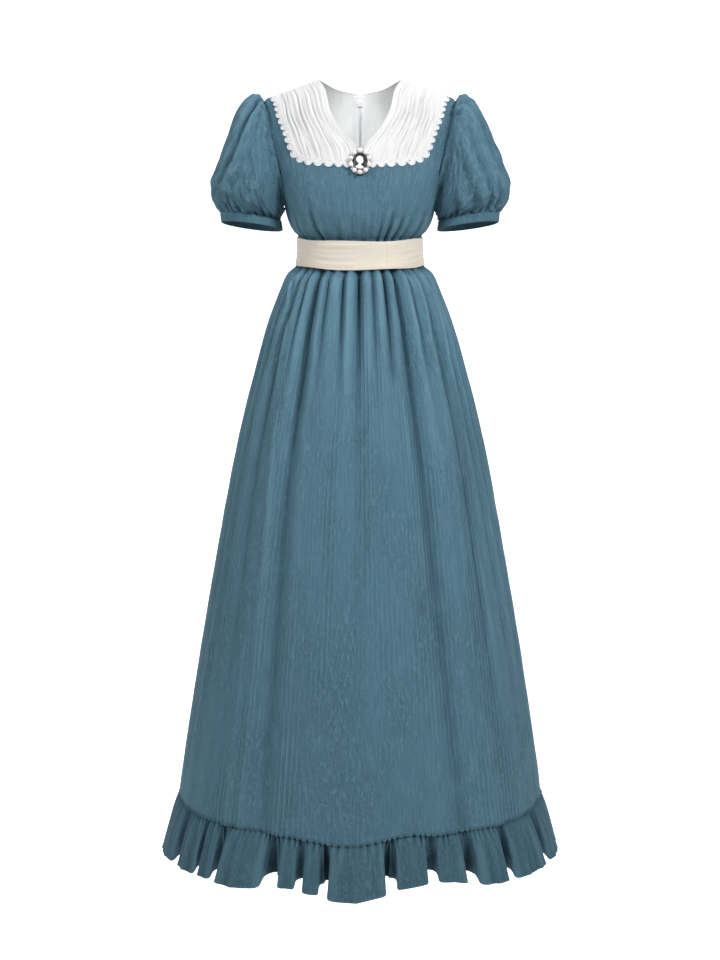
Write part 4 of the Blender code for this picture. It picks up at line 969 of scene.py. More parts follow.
# Hard finishes. Size is how fine the wear is, in waves a metre, and depth is how deep, in metres.
Hard = namedtuple("Hard", "name low high roughness metallic size depth")
HARD_FINISHES = [
    Hard("white_enamel", (0.72, 0.72, 0.73), (0.82, 0.82, 0.82), (0.28, 0.40), 0.0, 300.0, 0.00004),
    Hard("dark_metal", (0.012, 0.012, 0.014), (0.045, 0.044, 0.046), (0.30, 0.50), 0.7, 700.0, 0.00008),
    Hard("pearl", (0.84, 0.83, 0.80), (0.90, 0.89, 0.88), (0.12, 0.20), 0.0, 200.0, 0.00002),
    Hard("cameo_resin", (0.86, 0.86, 0.84), (0.92, 0.92, 0.90), (0.30, 0.42), 0.0, 500.0, 0.00003),
    Hard("blue_thread", BLUE_DEEP, BLUE_PALE, (0.70, 0.85), 0.0, 2500.0, 0.00005),
    Hard("white_thread", (0.70, 0.70, 0.71), (0.86, 0.86, 0.86), (0.70, 0.85), 0.0, 2500.0, 0.00005),
    # Thread painted dark grey to stand in for the shadow lines along the zip tape's edges: painted shadow on real
    # stitching
    Hard("grey_thread", (0.20, 0.20, 0.21), (0.34, 0.34, 0.35), (0.70, 0.85), 0.0, 2500.0, 0.00005),
    Hard("aged_silver", (0.34, 0.34, 0.35), (0.62, 0.62, 0.63), (0.22, 0.38), 0.9, 800.0, 0.00006),
    Hard("grey_crystal", (0.55, 0.56, 0.58), (0.80, 0.81, 0.83), (0.05, 0.12), 0.2, 900.0, 0.00002),
]
COATED_FINISHES = ("pearl", "cameo_resin")


def hard_finish(hard):
    """A hard material whose colour and gloss vary a little, as with handling."""
    material, shader = new_material(hard.name)
    place_at = scaled(material, object_place(material), hard.size, hard.size, hard.size)
    wear = noise(material, place_at, detail=4.0, roughness=0.6)
    colour = ramp(material, wear, [(0.3, hard.low), (0.7, hard.high)])
    surface = relief(material, (wear, hard.depth, 0.7))
    wire(material, shader, colour, surface, spanned(material, wear, 0.3, 0.7, *hard.roughness))
    shader.inputs["Metallic"].default_value = hard.metallic
    if hard.name in COATED_FINISHES:
        shader.inputs["Coat Weight"].default_value = 0.4
        shader.inputs["Coat Roughness"].default_value = 0.1
    return material


def make_finishes():
    """Every finish, by its name."""
    made = {
        # Lit and shaded copies of one crepe: the skirt's is painted lighter and the ruffle's darker than the
        # bodice's, as painted light and painted shade for how light falls on them
        "blue_crepe": blue_cloth("blue_crepe", 0.99, 0.75),
        "skirt_crepe": blue_cloth("skirt_crepe", 1.18, 0.80),
        "ruffle_crepe": blue_cloth("ruffle_crepe", 0.86, 1.00),
        "white_chiffon": white_chiffon("white_chiffon", 0.25),
        "single_chiffon": white_chiffon("single_chiffon", 0.34),
        "lace_cotton": lace_cotton(),
        "cream_satin": cream_satin(),
        "white_tape": white_tape(),
    }
    made.update((hard.name, hard_finish(hard)) for hard in HARD_FINISHES)
    return {name: Finish(material, SLOTS[name]) for name, material in made.items()}


def gathers(value, sharpness=1.0):
    """Gathers of the depth 1: round ridges at 0 and narrow valleys at -1, one to each half turn of value."""
    return -((1.0 - np.abs(np.sin(value))) ** sharpness)


def whole_turn(turn):
    """The same turn between -180 and 180, so the front and the backs meet alike at the side seams."""
    return (turn + 180.0) % 360.0 - 180.0


ZIP_FADE = 3.0


def beside_zip(turn):
    """1 on the cloth, fading to 0 at the centre back seam."""
    return 1.0 - bump(np.abs(whole_turn(turn)), CENTRE_BACK_TURN, ZIP_FADE)


# Long creases of the skirt front. Each row is a narrow ridge, or a valley where its height is below 0.
Crease = namedtuple("Crease", "turn_top level_top turn_middle level_middle turn_low level_low height width")
SKIRT_CREASES = [
    Crease(52.4, -0.3300, 46.1, -0.4380, 47.5, -0.6200, 0.0042, 1.9),
    Crease(67.0, -0.3320, 59.2, -0.4850, 61.5, -0.6000, 0.0040, 2.0),
    Crease(-67.3, -0.3300, -51.7, -0.4270, -51.2, -0.5800, 0.0042, 2.0),
    Crease(-62.0, -0.3400, -56.0, -0.4000, -57.0, -0.5300, -0.0040, 2.2),
    Crease(-70.0, -0.3390, -68.1, -0.4870, -67.7, -0.6200, 0.0036, 2.2),
    Crease(24.5, -0.3280, 22.0, -0.3900, 23.0, -0.5200, 0.0026, 1.8),
    Crease(-8.0, -0.3280, -8.0, -0.4200, -9.0, -0.5600, 0.0024, 1.8),
    Crease(-28.0, -0.3280, -27.0, -0.4200, -26.0, -0.6000, 0.0028, 2.0),
    Crease(38.0, -0.3300, 36.5, -0.4500, 38.5, -0.7500, 0.0026, 2.2),
    Crease(-45.5, -0.5500, -41.5, -0.7500, -40.0, -1.0500, 0.0026, 2.4),
    Crease(22.0, -0.4200, 25.0, -0.7000, 27.0, -1.1000, 0.0022, 1.8),
    Crease(54.0, -0.6000, 56.0, -0.9000, 57.0, -1.2000, 0.0024, 2.0),
    Crease(120.0, -0.3400, 122.0, -0.4500, 124.0, -0.6500, 0.0034, 2.2),
    Crease(146.0, -0.3300, 148.0, -0.4600, 149.0, -0.7000, 0.0034, 2.2),
    Crease(-148.0, -0.3300, -150.0, -0.4500, -152.0, -0.6800, 0.0034, 2.2),
    Crease(-118.0, -0.3400, -121.0, -0.4800, -123.0, -0.6200, 0.0034, 2.2),
]


def skirt_creases(turn, level):
    """Height of the long narrow creases that run down from the sash."""
    turn = whole_turn(turn)
    height = 0.0
    for crease in SKIRT_CREASES:
        upper = np.clip((crease.level_top - level) / (crease.level_top - crease.level_middle), 0.0, 1.0)
        lower = np.clip((crease.level_middle - level) / (crease.level_middle - crease.level_low), 0.0, 1.0)
        centre = between(between(crease.turn_top, crease.turn_middle, upper), crease.turn_low, lower)
        strength = ease(upper / 0.25) * (1.0 - ease(lower))
        height = height + crease.height * strength * bump(turn, centre, crease.width * between(0.8, 1.5, lower))
    return height


# How the skirt's folds run out: depth and width at the top, half way down and at the hem, and the sharp
# groove in each, which starts below the sash and fades on the way down
FOLD_DEEPER_TOP, FOLD_DEEPER_MID, FOLD_DEEPER_HEM = 1.65, 1.70, 1.40
FOLD_WIDER_TOP, FOLD_WIDER_LOW = 0.58, 0.85
FOLD_ROUND_SHARE = 0.75
GROOVE_TOP, GROOVE_LOW = 0.66, 0.10
GROOVE_SHARPNESS = 2.2
GROOVE_START = 0.020


def skirt_pull(turn, level):
    """How far the skirt cloth is drawn in by its gathers and folds."""
    fallen = np.clip((SASH_BOTTOM - level) / (SASH_BOTTOM - HEM_SEAM), 0.0, 1.0)
    middle = (SASH_BOTTOM - FOLD_MID_LEVEL) / (SASH_BOTTOM - HEM_SEAM)
    pull = 0.0
    for fold in FRONT_SKIRT_FOLDS + BACK_SKIRT_FOLDS:
        centre = between(fold.turn_top, fold.turn_hem, fallen)
        depth_mid = fold.depth_mid * FOLD_DEEPER_MID
        upper = between(fold.depth_top * FOLD_DEEPER_TOP, depth_mid, ease(fallen / middle))
        lower = between(depth_mid, fold.depth_hem * FOLD_DEEPER_HEM, (fallen - middle) / (1.0 - middle))
        width = fold.width * between(FOLD_WIDER_TOP, FOLD_WIDER_LOW, ease(fallen / 0.25))
        away = (turn - centre) / width
        groove = between(GROOVE_TOP, GROOVE_LOW, ease(fallen / 0.40)) * np.exp(-((GROOVE_SHARPNESS * away) ** 2))
        groove = groove * ease((SASH_BOTTOM - level) / GROOVE_START)
        pull = pull + np.where(fallen <= middle, upper, lower) * (FOLD_ROUND_SHARE * np.exp(-away * away) + groove)
    return pull * ease((WAIST_SEAM - level) / (WAIST_SEAM - SASH_BOTTOM))


GATHER_SHARPNESS = 1.6

# Depths of the skirt's small forms: gathers close under the sash and looser ones below, long ripples, soft
# unevenness and fine crinkles
SKIRT_TIGHT, SKIRT_LOOSE, SKIRT_RIPPLE, SKIRT_SOFT, SKIRT_FINE = 0.0040, 0.0024, 0.00060, 0.0032, 0.00025


def skirt_relief(turn, level):
    """Small gathers under the sash, long ripples of the cloth and soft unevenness."""
    under = SASH_BOTTOM - level
    drop = np.maximum(0.0, under)
    low = ease(drop / 0.35)
    turns = whole_turn(turn) / 180.0
    warp = 17.0 * math.pi * turns + 0.9 * hum(turns, 11, 1.5, 4.0)
    uneven = 0.60 + 0.40 * hum(turns, 18, 3.0, 7.0)
    reach = 0.062 * (1.0 + 0.35 * hum(turns, 20, 4.0, 9.0))
    tight = SKIRT_TIGHT * np.exp(-((drop / reach) ** 1.1)) * ease((under + 0.010) / 0.014)
    tight = tight * uneven * gathers(warp, GATHER_SHARPNESS)
    loose = SKIRT_LOOSE * np.exp(-drop / 0.110) * ease(drop / 0.010) * hum(turns, 12, 9.0, 16.0)
    wander = turns + 0.004 * hum(level, 13, 0.8, 2.2)
    where = ease(0.5 + 0.9 * cloudy(turns * 1.1, level * 0.55, 14, 0.28))
    long_ripples = SKIRT_RIPPLE * low * where * hum(wander, 15, 26.0, 42.0)
    soft = SKIRT_SOFT * low * cloudy(turns * 1.5, level * 0.30, 16, 0.16)
    fine = SKIRT_FINE * cloudy(turns * 1.0, level * 0.8, 17, 0.022)
    return (tight + loose + long_ripples + soft + fine) * beside_zip(turn) + skirt_creases(turn, level)


# How far above the hem seam the skirt follows its sag
SAG_REACH = 0.16


def skirt_surface(turn, level):
    """Points of the skirt's outer face."""
    sink = outward(turn, level) * (-skirt_pull(turn, level))[..., None]
    rise = normal(turn, level) * skirt_relief(turn, level)[..., None]
    points = body(turn, level) + sink + rise
    points[..., 2] += seam_sag(turn) * ease((HEM_SEAM + SAG_REACH - level) / SAG_REACH)
    return points


# Columns and rows of a skirt piece, and how much closer its rows lie near the waist
SKIRT_FRONT_STEPS = (224, 134)
SKIRT_BACK_STEPS = (88, 110)
SKIRT_ROW_CROWDING = 1.15


def skirt_grid(start, end, columns, rows):
    """Points and marks of a skirt piece between two turns, from the hem up."""
    share = spread(rows)[::-1] ** SKIRT_ROW_CROWDING
    level = between(WAIST_SEAM - SEAM_GAP / 2, HEM_SEAM, share)[:, None]
    turn = between(start, end, spread(columns))[None, :]
    points = skirt_surface(*np.broadcast_arrays(turn, level))
    return points, np.stack(np.broadcast_arrays(turn * SKIRT_DEGREE, level), axis=-1)


def add_skirt(finishes):
    """Skirt front and two skirt backs."""
    # The skirt's crepe is painted lighter than the bodice's: painted light
    cloth = finishes["skirt_crepe"]
    points, marks = skirt_grid(-FRONT_SIDE_TURN, FRONT_SIDE_TURN, *SKIRT_FRONT_STEPS)
    made = [add_cloth("skirt_front", "cloth", points, marks, cloth, CLOTH, reach=SKIRT_REACH)]
    for name, sign in SIDES:
        start, end, seam = BACK_SIDE_TURN, CENTRE_BACK_TURN, -1
        if sign < 0.0:
            start, end, seam = CENTRE_BACK_TURN, 360.0 - BACK_SIDE_TURN, 0
        points, marks = skirt_grid(start, end, *SKIRT_BACK_STEPS)
        points[:, seam, 0] = sign * CENTRE_BACK_HALF_GAP
        made.append(add_cloth(f"skirt_back_{name}", "cloth", points, marks, cloth, CLOTH, reach=SKIRT_REACH))
    return made


# Where the hem seam hangs higher than its even line, or lower: the turn, the height and the width
Sag = namedtuple("Sag", "turn height width")
SEAM_SAGS = [Sag(-4.0, -0.0105, 11.0), Sag(15.0, 0.0075, 8.0), Sag(60.0, -0.003, 16.0)]


def seam_sag(turn):
    """How much higher than its even line the hem seam hangs at this turn."""
    return sum(sag.height * bump(whole_turn(turn), sag.turn, sag.width) for sag in SEAM_SAGS)


def ruffle_line(waves, first_turn, wave_steps):
    """The ruffle's run round the hem: base turns, wave depths, phases, wave pitches and spans."""
    turns, rows = [], []
    before = first_turn
    for i, wave in enumerate(waves):
        steps = np.arange(wave_steps + (1 if i == len(waves) - 1 else 0))
        phase = 2.0 * steps / wave_steps - 1.0
        phase = phase + RUFFLE_CROWDING * np.sin(math.pi * phase) / math.pi
        ends = np.where(phase < 0.0, before, wave.valley)
        turns.append(between(wave.crest, ends, np.abs(phase)))
        values = (wave.depth, wave.valley - before, wave.span)
        rows.append(np.stack([phase] + [np.full(len(phase), value) for value in values]))
        before = wave.valley
    return [np.concatenate(turns), *np.concatenate(rows, axis=1)]


# The ruffle's cloth: soft folds between its waves, how far it is tucked in under the seam, its rolled hem
# and the puckers of its upper edge, which lies over the seam
SUB_FOLD_DEPTH = 0.0016
RUFFLE_ROW_CROWDING = 1.25
RUFFLE_TUCK = 0.0028
ROLLED_HEM = 0.0006
ROLLED_HEM_SHARE = 0.92
SEAM_FOLLOW_LEVEL = 0.009
SAG_AT_EDGE = 0.55
LIP_OUT = 0.0020
LIP_REST = 0.0004
LIP_PUCKER = 0.0060
LIP_SINK = 0.0034


def ruffle_lip(turn, warp, uneven):
    """Points and heights of the ruffle's puckered upper edge, over the hem seam."""
    turn, height = np.broadcast_arrays(turn, np.array(LIP_HEIGHTS[::-1])[:, None])
    pucker = gathers(warp) * uneven
    low = ease(1.0 - height / LIP_HEIGHTS[0])
    out = LIP_REST + low * (LIP_OUT + LIP_PUCKER * pucker)
    lip = skirt_surface(turn, HEM_SEAM + height) + outward(turn, HEM_SEAM) * out[..., None]
    lip[..., 2] -= LIP_SINK * low * (1.0 + pucker)
    return lip, height


def ruffle_grid(waves, first_turn, wave_steps, seed):
    """Points and marks of one length of the ruffle, from its free edge up over the seam."""
    turn, phase, depth, pitch, span = (part[None, :] for part in ruffle_line(waves, first_turn, wave_steps))
    share = ((1.0 - spread(RUFFLE_ROWS)) ** RUFFLE_ROW_CROWDING)[:, None]
    turn, level = np.broadcast_arrays(turn, HEM_SEAM - SEAM_GAP - RUFFLE_HEIGHT * share)
    grown = share**RUFFLE_OPENING
    radius = np.linalg.norm(body(turn, HEM_SEAM)[..., :2], axis=-1)
    run = np.radians(turn) * radius
    tenths = run / 0.1

    angle = math.pi * np.sign(phase) * np.abs(phase) ** (math.log(0.5) / np.log(span))
    wave_height = np.tanh(RUFFLE_FLATNESS * np.cos(angle)) / math.tanh(RUFFLE_FLATNESS)
    wave_height = np.where(wave_height < 0.0, RUFFLE_VALLEY_DEPTH * wave_height, wave_height)
    crests = [wave.crest for wave in waves]
    forward = np.interp(turn, crests, [wave.forward for wave in waves])
    lift = np.interp(turn, crests, [wave.lift for wave in waves])
    sub_folds = SUB_FOLD_DEPTH * np.minimum(1.0, share / 0.35) * hum(tenths, seed, 2.6, 5.2)
    out = grown * (RUFFLE_FLARE + forward + depth * wave_height) + sub_folds * (0.4 + 0.6 * np.abs(np.cos(angle)))
    along = grown * RUFFLE_BULGE * np.radians(pitch) * radius * np.sin(2.0 * angle)

    warp = run / RUFFLE_GATHER_PITCH * math.pi + 1.1 * hum(tenths, seed + 1, 0.8, 2.4)
    uneven = 0.78 + 0.22 * hum(tenths, seed + 3, 1.5, 3.5)
    near_seam = ease(share / 0.02) * np.exp(-((share / 0.15) ** 1.1))
    tight = RUFFLE_GATHER_DEPTH * near_seam * uneven * gathers(warp, GATHER_SHARPNESS)

    radial = outward(turn, level)
    tangent = np.stack([-radial[..., 1], radial[..., 0], np.zeros_like(turn)], axis=-1)
    seam_level = np.full_like(turn, HEM_SEAM + SEAM_FOLLOW_LEVEL)
    seam = skirt_surface(turn, seam_level) - body(turn, seam_level)
    seam[..., 2] = 0.0
    points = body(turn, level) + radial * (out + tight)[..., None] + tangent * along[..., None]
    points = points + seam * (1.0 - grown)[..., None]
    tuck = -RUFFLE_TUCK * np.exp(-share / 0.05)
    rolled_hem = ROLLED_HEM * ease((share - ROLLED_HEM_SHARE) / 0.02)
    points = points + radial * (tuck + rolled_hem)[..., None]
    uneven_hem = share * (lift + 0.0012 * hum(tenths, seed + 2, 0.6, 1.6))
    points[..., 2] += uneven_hem + seam_sag(turn) * between(1.0, SAG_AT_EDGE, share)
    points[..., 2] += RUFFLE_CORNER_LIFT * share**2 * ease((1.0 - wave_height) / 1.8)

    lip, lip_heights = ruffle_lip(turn[:1], warp[:1], uneven[:1])
    heights = np.concatenate([np.broadcast_to(-share * RUFFLE_HEIGHT, turn.shape), lip_heights])
    run = np.concatenate([run, np.broadcast_to(run[:1], lip_heights.shape)])
    return np.concatenate([points, lip]), np.stack([run * RUFFLE_FULLNESS, heights], axis=-1)


RUFFLE_FRONT_SEED = 21
RUFFLE_BACK_SEED = 31


def add_ruffle(finishes):
    """Gathered ruffle below the skirt, in a front and a back length that meet at the side seams."""
    made = []
    front, front_marks = ruffle_grid(FRONT_WAVES, -FRONT_SIDE_TURN, RUFFLE_STEPS_FRONT, RUFFLE_FRONT_SEED)
    back, back_marks = ruffle_grid(BACK_WAVES, BACK_SIDE_TURN, RUFFLE_STEPS_BACK, RUFFLE_BACK_SEED)
    near = (1.0 - ease(np.arange(back.shape[1]) / RUFFLE_JOIN_STEPS))[None, :, None]
    back = back + near * (front[:, -1:] - back[:, :1]) + near[:, ::-1] * (front[:, :1] - back[:, -1:])
    # The ruffle's crepe is painted darker than the skirt's, and darkest in its folds: painted shade
    for node, points, marks in (("ruffle_front", front, front_marks), ("ruffle_back", back, back_marks)):
        made.append(
            add_cloth(node, "cloth", points, marks, finishes["ruffle_crepe"], CLOTH, reach=RUFFLE_REACH)
        )
        row = points[HEM_STITCH_ROW], sheet_normals(points)[HEM_STITCH_ROW]
        made.append(add_stitches(node, [row], finishes["blue_thread"]))
    return made


# How the bodice's folds differ from their table: width, depth, and the shares of the round and the sharp part
BODICE_FOLD_WIDER = 0.62
BODICE_FOLD_DEEPER = 1.5
BODICE_ROUND_SHARE = 0.7
BODICE_SHARP_SHARE = 0.5


def bodice_pull(turn, level):
    """How far the bodice cloth is drawn in by the folds that rise from the sash."""
    turn = np.where(turn < -FRONT_SIDE_TURN - TURN_STEP, turn + 360.0, turn)
    pull = 0.0
    for fold in BODICE_FOLDS:
        rise = (level - SASH_TOP) / (fold.top_level - SASH_TOP)
        centre = fold.turn_waist + (fold.turn_top - fold.turn_waist) * np.clip(rise, 0.0, 1.0)
        strength = np.where(rise < 0.0, ease((level - WAIST_SEAM) / (SASH_TOP - WAIST_SEAM)), 1.0 - ease(rise))
        away = (turn - centre) / (BODICE_FOLD_WIDER * fold.width * (1.0 + FOLD_SPREAD * np.maximum(0.0, rise)))
        sharp = BODICE_SHARP_SHARE * np.exp(-((GROOVE_SHARPNESS * away) ** 2))
        shape = BODICE_ROUND_SHARE * np.exp(-away * away) + sharp
        pull = pull + fold.depth * BODICE_FOLD_DEEPER * strength * shape
    return pull


# Depths of the bodice's small forms: close and loose gathers, soft unevenness and fine crinkles
BODICE_TIGHT, BODICE_LOOSE, BODICE_SOFT, BODICE_FINE = 0.0007, 0.0010, 0.0012, 0.00020


def bodice_relief(turn, level):
    """Small gathers above the sash and soft unevenness of the cloth."""
    rise = np.maximum(0.0, level - SASH_TOP)
    turns = whole_turn(turn) / 180.0
    tight = BODICE_TIGHT * np.exp(-rise / 0.014) * ease(rise / 0.004) * hum(turns, 41, 24.0, 40.0)
    loose = BODICE_LOOSE * np.exp(-rise / 0.035) * ease(rise / 0.006) * hum(turns, 42, 10.0, 18.0)
    soft = BODICE_SOFT * cloudy(turns, level * 1.2, 43, 0.16) * ease(rise / 0.02)
    fine = BODICE_FINE * cloudy(turns, level * 2.0, 44, 0.03)
    free = 1.0 - ease((level + 0.150) / 0.03)
    return ((tight + loose + soft) * free + fine) * beside_zip(turn)


def bodice_surface(places):
    """Points of the bodice's outer face."""
    turn, level = places[..., 0], places[..., 1]
    sink = outward(turn, level) * (-bodice_pull(turn, level))[..., None]
    return body(turn, level) + sink + normal(turn, level) * bodice_relief(turn, level)[..., None]


# The share of a bodice row that is the strap's width, and the steps of each part of half a bodice
STRAP_SHARE = 0.2
STRAP_COLUMNS = 20
BODICE_COLUMNS = 96
BODICE_LOW_ROWS = 34
BODICE_ARMHOLE_ROWS = 30
STRAP_ROWS = 40


def bodice_top(faces_back, s):
    """Places where half a bodice's full-width rows end, on the way from armhole to centre."""
    table = yoke_table(faces_back)
    corner = edge_place(table, YOKE_CORNER, faces_back, SEAM_GAP)
    on_armhole = armhole_place(CORNER_ON_ARMHOLE, faces_back)
    on_strap = between(on_armhole, corner, np.minimum(1.0, s / STRAP_SHARE)[:, None])
    past = np.maximum(0.0, (s - STRAP_SHARE) / (1.0 - STRAP_SHARE))
    on_yoke = edge_place(table, between(YOKE_CORNER, 1.0, past), faces_back, SEAM_GAP)
    return np.where((s <= STRAP_SHARE)[:, None], on_strap, on_yoke)


def half_bodice_places(faces_back):
    """Rows of places on half a bodice, from the waist to the shoulder line. NaN fills the yoke's side."""
    side_turn = BACK_SIDE_TURN if faces_back else FRONT_SIDE_TURN
    middle = CENTRE_BACK_TURN if faces_back else 0.0
    s = spread(BODICE_COLUMNS)
    low_levels = between(WAIST_SEAM + SEAM_GAP / 2, ARMPIT, spread(BODICE_LOW_ROWS))
    low_rows = place(between(side_turn, middle, s)[None, :], low_levels[:, None])
    table = yoke_table(faces_back)

    def side(t):
        return armhole_place(between(1.0, CORNER_ON_ARMHOLE, t), faces_back)

    def centre(t):
        end = bodice_top(faces_back, np.array([1.0]))[0]
        return between(np.array([middle, ARMPIT]), end, t[:, None])

    def low(s):
        return place(between(side_turn, middle, s), ARMPIT)

    def top(s):
        return bodice_top(faces_back, s)

    chest = patch(side, centre, low, top, s, spread(BODICE_ARMHOLE_ROWS)[1:])

    def armhole(t):
        return armhole_place(CORNER_ON_ARMHOLE * (1.0 - t), faces_back)

    def yoke(t):
        return edge_place(table, YOKE_CORNER * (1.0 - t), faces_back, SEAM_GAP)

    def strap_low(s):
        return between(armhole(np.array([0.0]))[0], yoke(np.array([0.0]))[0], s[:, None])

    def shoulder(s):
        edge_x = FRONT_YOKE_EDGE[0].x + SEAM_GAP
        return shoulder_place(between(SHOULDER_HALF_WIDTH, edge_x, s), faces_back)

    heights = 1.0 - (1.0 - spread(STRAP_ROWS)[1:]) ** 1.9
    strap = patch(armhole, yoke, strap_low, shoulder, spread(STRAP_COLUMNS), heights)
    empty = np.full((strap.shape[0], BODICE_COLUMNS - STRAP_COLUMNS, 2), np.nan)
    return np.concatenate([low_rows, chest, np.concatenate([strap, empty], axis=1)])


def place_marks(places):
    """Marks of places on the bodice or yoke, in metres of cloth."""
    return np.stack([places[..., 0] * BODICE_DEGREE, places[..., 1]], axis=-1)


def add_bodice(finishes):
    """Bodice front, cut in one, and two backs that meet at the zip."""
    cloth = finishes["blue_crepe"]
    left = half_bodice_places(False)
    places = np.concatenate([on_side(left, -1.0)[:, :-1], left[:, ::-1]], axis=1)
    front = bodice_surface(places)
    made = [add_cloth("bodice_front", "cloth", front, place_marks(places), cloth, CLOTH, reach=BODICE_REACH)]
    back = half_bodice_places(True)
    for name, sign in SIDES:
        places = on_side(back, sign)
        points = bodice_surface(places)
        points[:, -1, 0] = np.where(np.isnan(points[:, -1, 0]), np.nan, sign * CENTRE_BACK_HALF_GAP)
        node, marks = f"bodice_back_{name}", place_marks(places)
        made.append(
            add_cloth(node, "cloth", points, marks, cloth, CLOTH, flip=sign < 0.0, reach=BODICE_REACH)
        )
    return made


# Yoke gathers. Each row is a ridge: its share across at the top and low down, the shares down where it starts
# and ends, its height and its width.
Pleat = namedtuple("Pleat", "top low start end height width")
LEFT_YOKE_PLEATS = [
    Pleat(0.060, 0.070, 0.00, 0.55, 0.0012, 0.028),
    Pleat(0.150, 0.110, 0.10, 1.00, 0.0017, 0.034),
    Pleat(0.230, 0.235, 0.00, 0.70, 0.0018, 0.022),
    Pleat(0.330, 0.270, 0.05, 1.00, 0.0021, 0.036),
    Pleat(0.415, 0.395, 0.00, 0.62, 0.0016, 0.022),
    Pleat(0.500, 0.400, 0.15, 1.00, 0.0022, 0.034),
    Pleat(0.590, 0.520, 0.00, 0.90, 0.0018, 0.024),
    Pleat(0.665, 0.620, 0.25, 1.00, 0.0015, 0.030),
    Pleat(0.760, 0.680, 0.00, 0.80, 0.0021, 0.034),
    Pleat(0.860, 0.790, 0.00, 1.00, 0.0016, 0.026),
]
RIGHT_YOKE_PLEATS = [
    Pleat(0.075, 0.050, 0.05, 0.80, 0.0014, 0.030),
    Pleat(0.175, 0.140, 0.00, 1.00, 0.0018, 0.032),
    Pleat(0.260, 0.225, 0.30, 1.00, 0.0014, 0.024),
    Pleat(0.345, 0.330, 0.00, 0.75, 0.0022, 0.034),
    Pleat(0.450, 0.400, 0.00, 1.00, 0.0020, 0.028),
    Pleat(0.540, 0.470, 0.10, 0.60, 0.0014, 0.024),
    Pleat(0.615, 0.560, 0.00, 1.00, 0.0023, 0.036),
    Pleat(0.710, 0.660, 0.20, 1.00, 0.0014, 0.024),
    Pleat(0.795, 0.745, 0.00, 0.65, 0.0019, 0.030),
    Pleat(0.885, 0.830, 0.10, 1.00, 0.0015, 0.026),
]


def half_yoke_places(faces_back, columns, rows):
    """Rows of places on half a yoke, from the shoulder down, with the shares across and down."""
    table = yoke_table(faces_back)
    neck_table = BACK_NECK_EDGE if faces_back else FRONT_NECK_EDGE

    def outer(t):
        return edge_place(table, YOKE_CORNER * t, faces_back)

    def inner(t):
        return edge_place(neck_table, t, faces_back)

    def shoulder(s):
        return shoulder_place(between(table[0].x, NECK_HALF_WIDTH, s), faces_back)

    def low(s):
        return edge_place(table, between(YOKE_CORNER, 1.0, s), faces_back)

    s, t = spread(columns), spread(rows) ** 1.7
    return patch(outer, inner, shoulder, low, s, t), s[None, :], t[:, None]


# Seeds and gathers of each side, columns and rows of each yoke piece, and where the neck's stitches run
YOKE_SIDES = {"left": (51, LEFT_YOKE_PLEATS), "right": (57, RIGHT_YOKE_PLEATS)}
YOKE_FRONT_STEPS = (120, 68)
YOKE_BACK_STEPS = (56, 40)
NECK_STITCH_SHARE = 0.955

# The yoke: how deep the valley beside a ridge is in shares of its height, and the depths of its fine creases,
# its soft unevenness, its rolled neck edge and the plain back
PLEAT_VALLEY = 0.55
YOKE_FINE, YOKE_SOFT, ROLLED_NECK, YOKE_BACK_SOFT = 0.00040, 0.0009, 0.0007, 0.0004


def yoke_pleating(s, t, pleats, seed):
    """Height of the gathers on a front yoke, at shares across and down."""
    ends = between(0.55, 1.0, ease(t / 0.2)) * between(1.0, 0.6, ease((t - 0.85) / 0.15))
    height = 0.0
    for k, pleat in enumerate(pleats):
        along = (t - pleat.start) / (pleat.end - pleat.start)
        wander = 0.012 * hum(t, seed + k, 0.5, 1.4)
        centre = between(pleat.top, pleat.low, t) + wander
        starts_here = 1.0 if pleat.start == 0.0 else ease(along / 0.25)
        ends_here = 1.0 if pleat.end == 1.0 else ease((1.0 - along) / 0.35)
        rise = pleat.height * starts_here * ends_here * (0.8 + 0.3 * hum(t, seed + 20 + k, 0.8, 2.2))
        width = pleat.width * (1.0 + 0.25 * hum(t, seed + 40 + k, 0.6, 1.6))
        height = height + rise * bump(s, centre, width)
        height = height - PLEAT_VALLEY * rise * bump(s, centre + 1.25 * width, 0.5 * width)
    wavy = s + 0.05 * np.sin(2.6 * t + 1.0)
    small = YOKE_FINE * hum(wavy, seed + 5, 9.0, 20.0) * (0.6 + 0.4 * hum(t + s, seed + 6, 1.0, 2.5))
    soft = YOKE_SOFT * cloudy(s * 0.10, t * 0.05, seed + 7, 0.020)
    height = (height + small + soft) * ends
    rolled_neck = ROLLED_NECK * ease((s - 0.965) / 0.03)
    edge_fade = ease(s / 0.05) * ease((1.0 - s) / 0.03)
    return height * edge_fade + rolled_neck


def add_yokes(finishes):
    """White pleated yoke fronts and plain yoke backs."""
    made = []
    for faces_back, stem, steps, chiffon in (
        (False, "yoke_front", YOKE_FRONT_STEPS, finishes["white_chiffon"]),
        (True, "yoke_back", YOKE_BACK_STEPS, finishes["single_chiffon"]),
    ):
        places, s, t = half_yoke_places(faces_back, *steps)
        for name, sign in SIDES:
            seed, pleats = YOKE_SIDES[name]
            sided = on_side(places, sign)
            turn, level = sided[..., 0], sided[..., 1]
            if faces_back:
                height = YOKE_BACK_SOFT * cloudy(s, t, seed, 0.3) * ease(s / 0.1) * ease((1.0 - s) / 0.1)
            else:
                height = yoke_pleating(s, t, pleats, seed)
            points = body(turn, level) + normal(turn, level) * height[..., None]
            node, marks, flip = f"{stem}_{name}", place_marks(sided), (sign < 0.0) != faces_back
            made.append(add_cloth(node, "cloth", points, marks, chiffon, CHIFFON, flip=flip, reach=YOKE_REACH))
            column = int(NECK_STITCH_SHARE * steps[0])
            row = points[:, column], normal(turn[:, column], level[:, column])
            made.append(add_stitches(node, [row], finishes["white_thread"]))
    return made


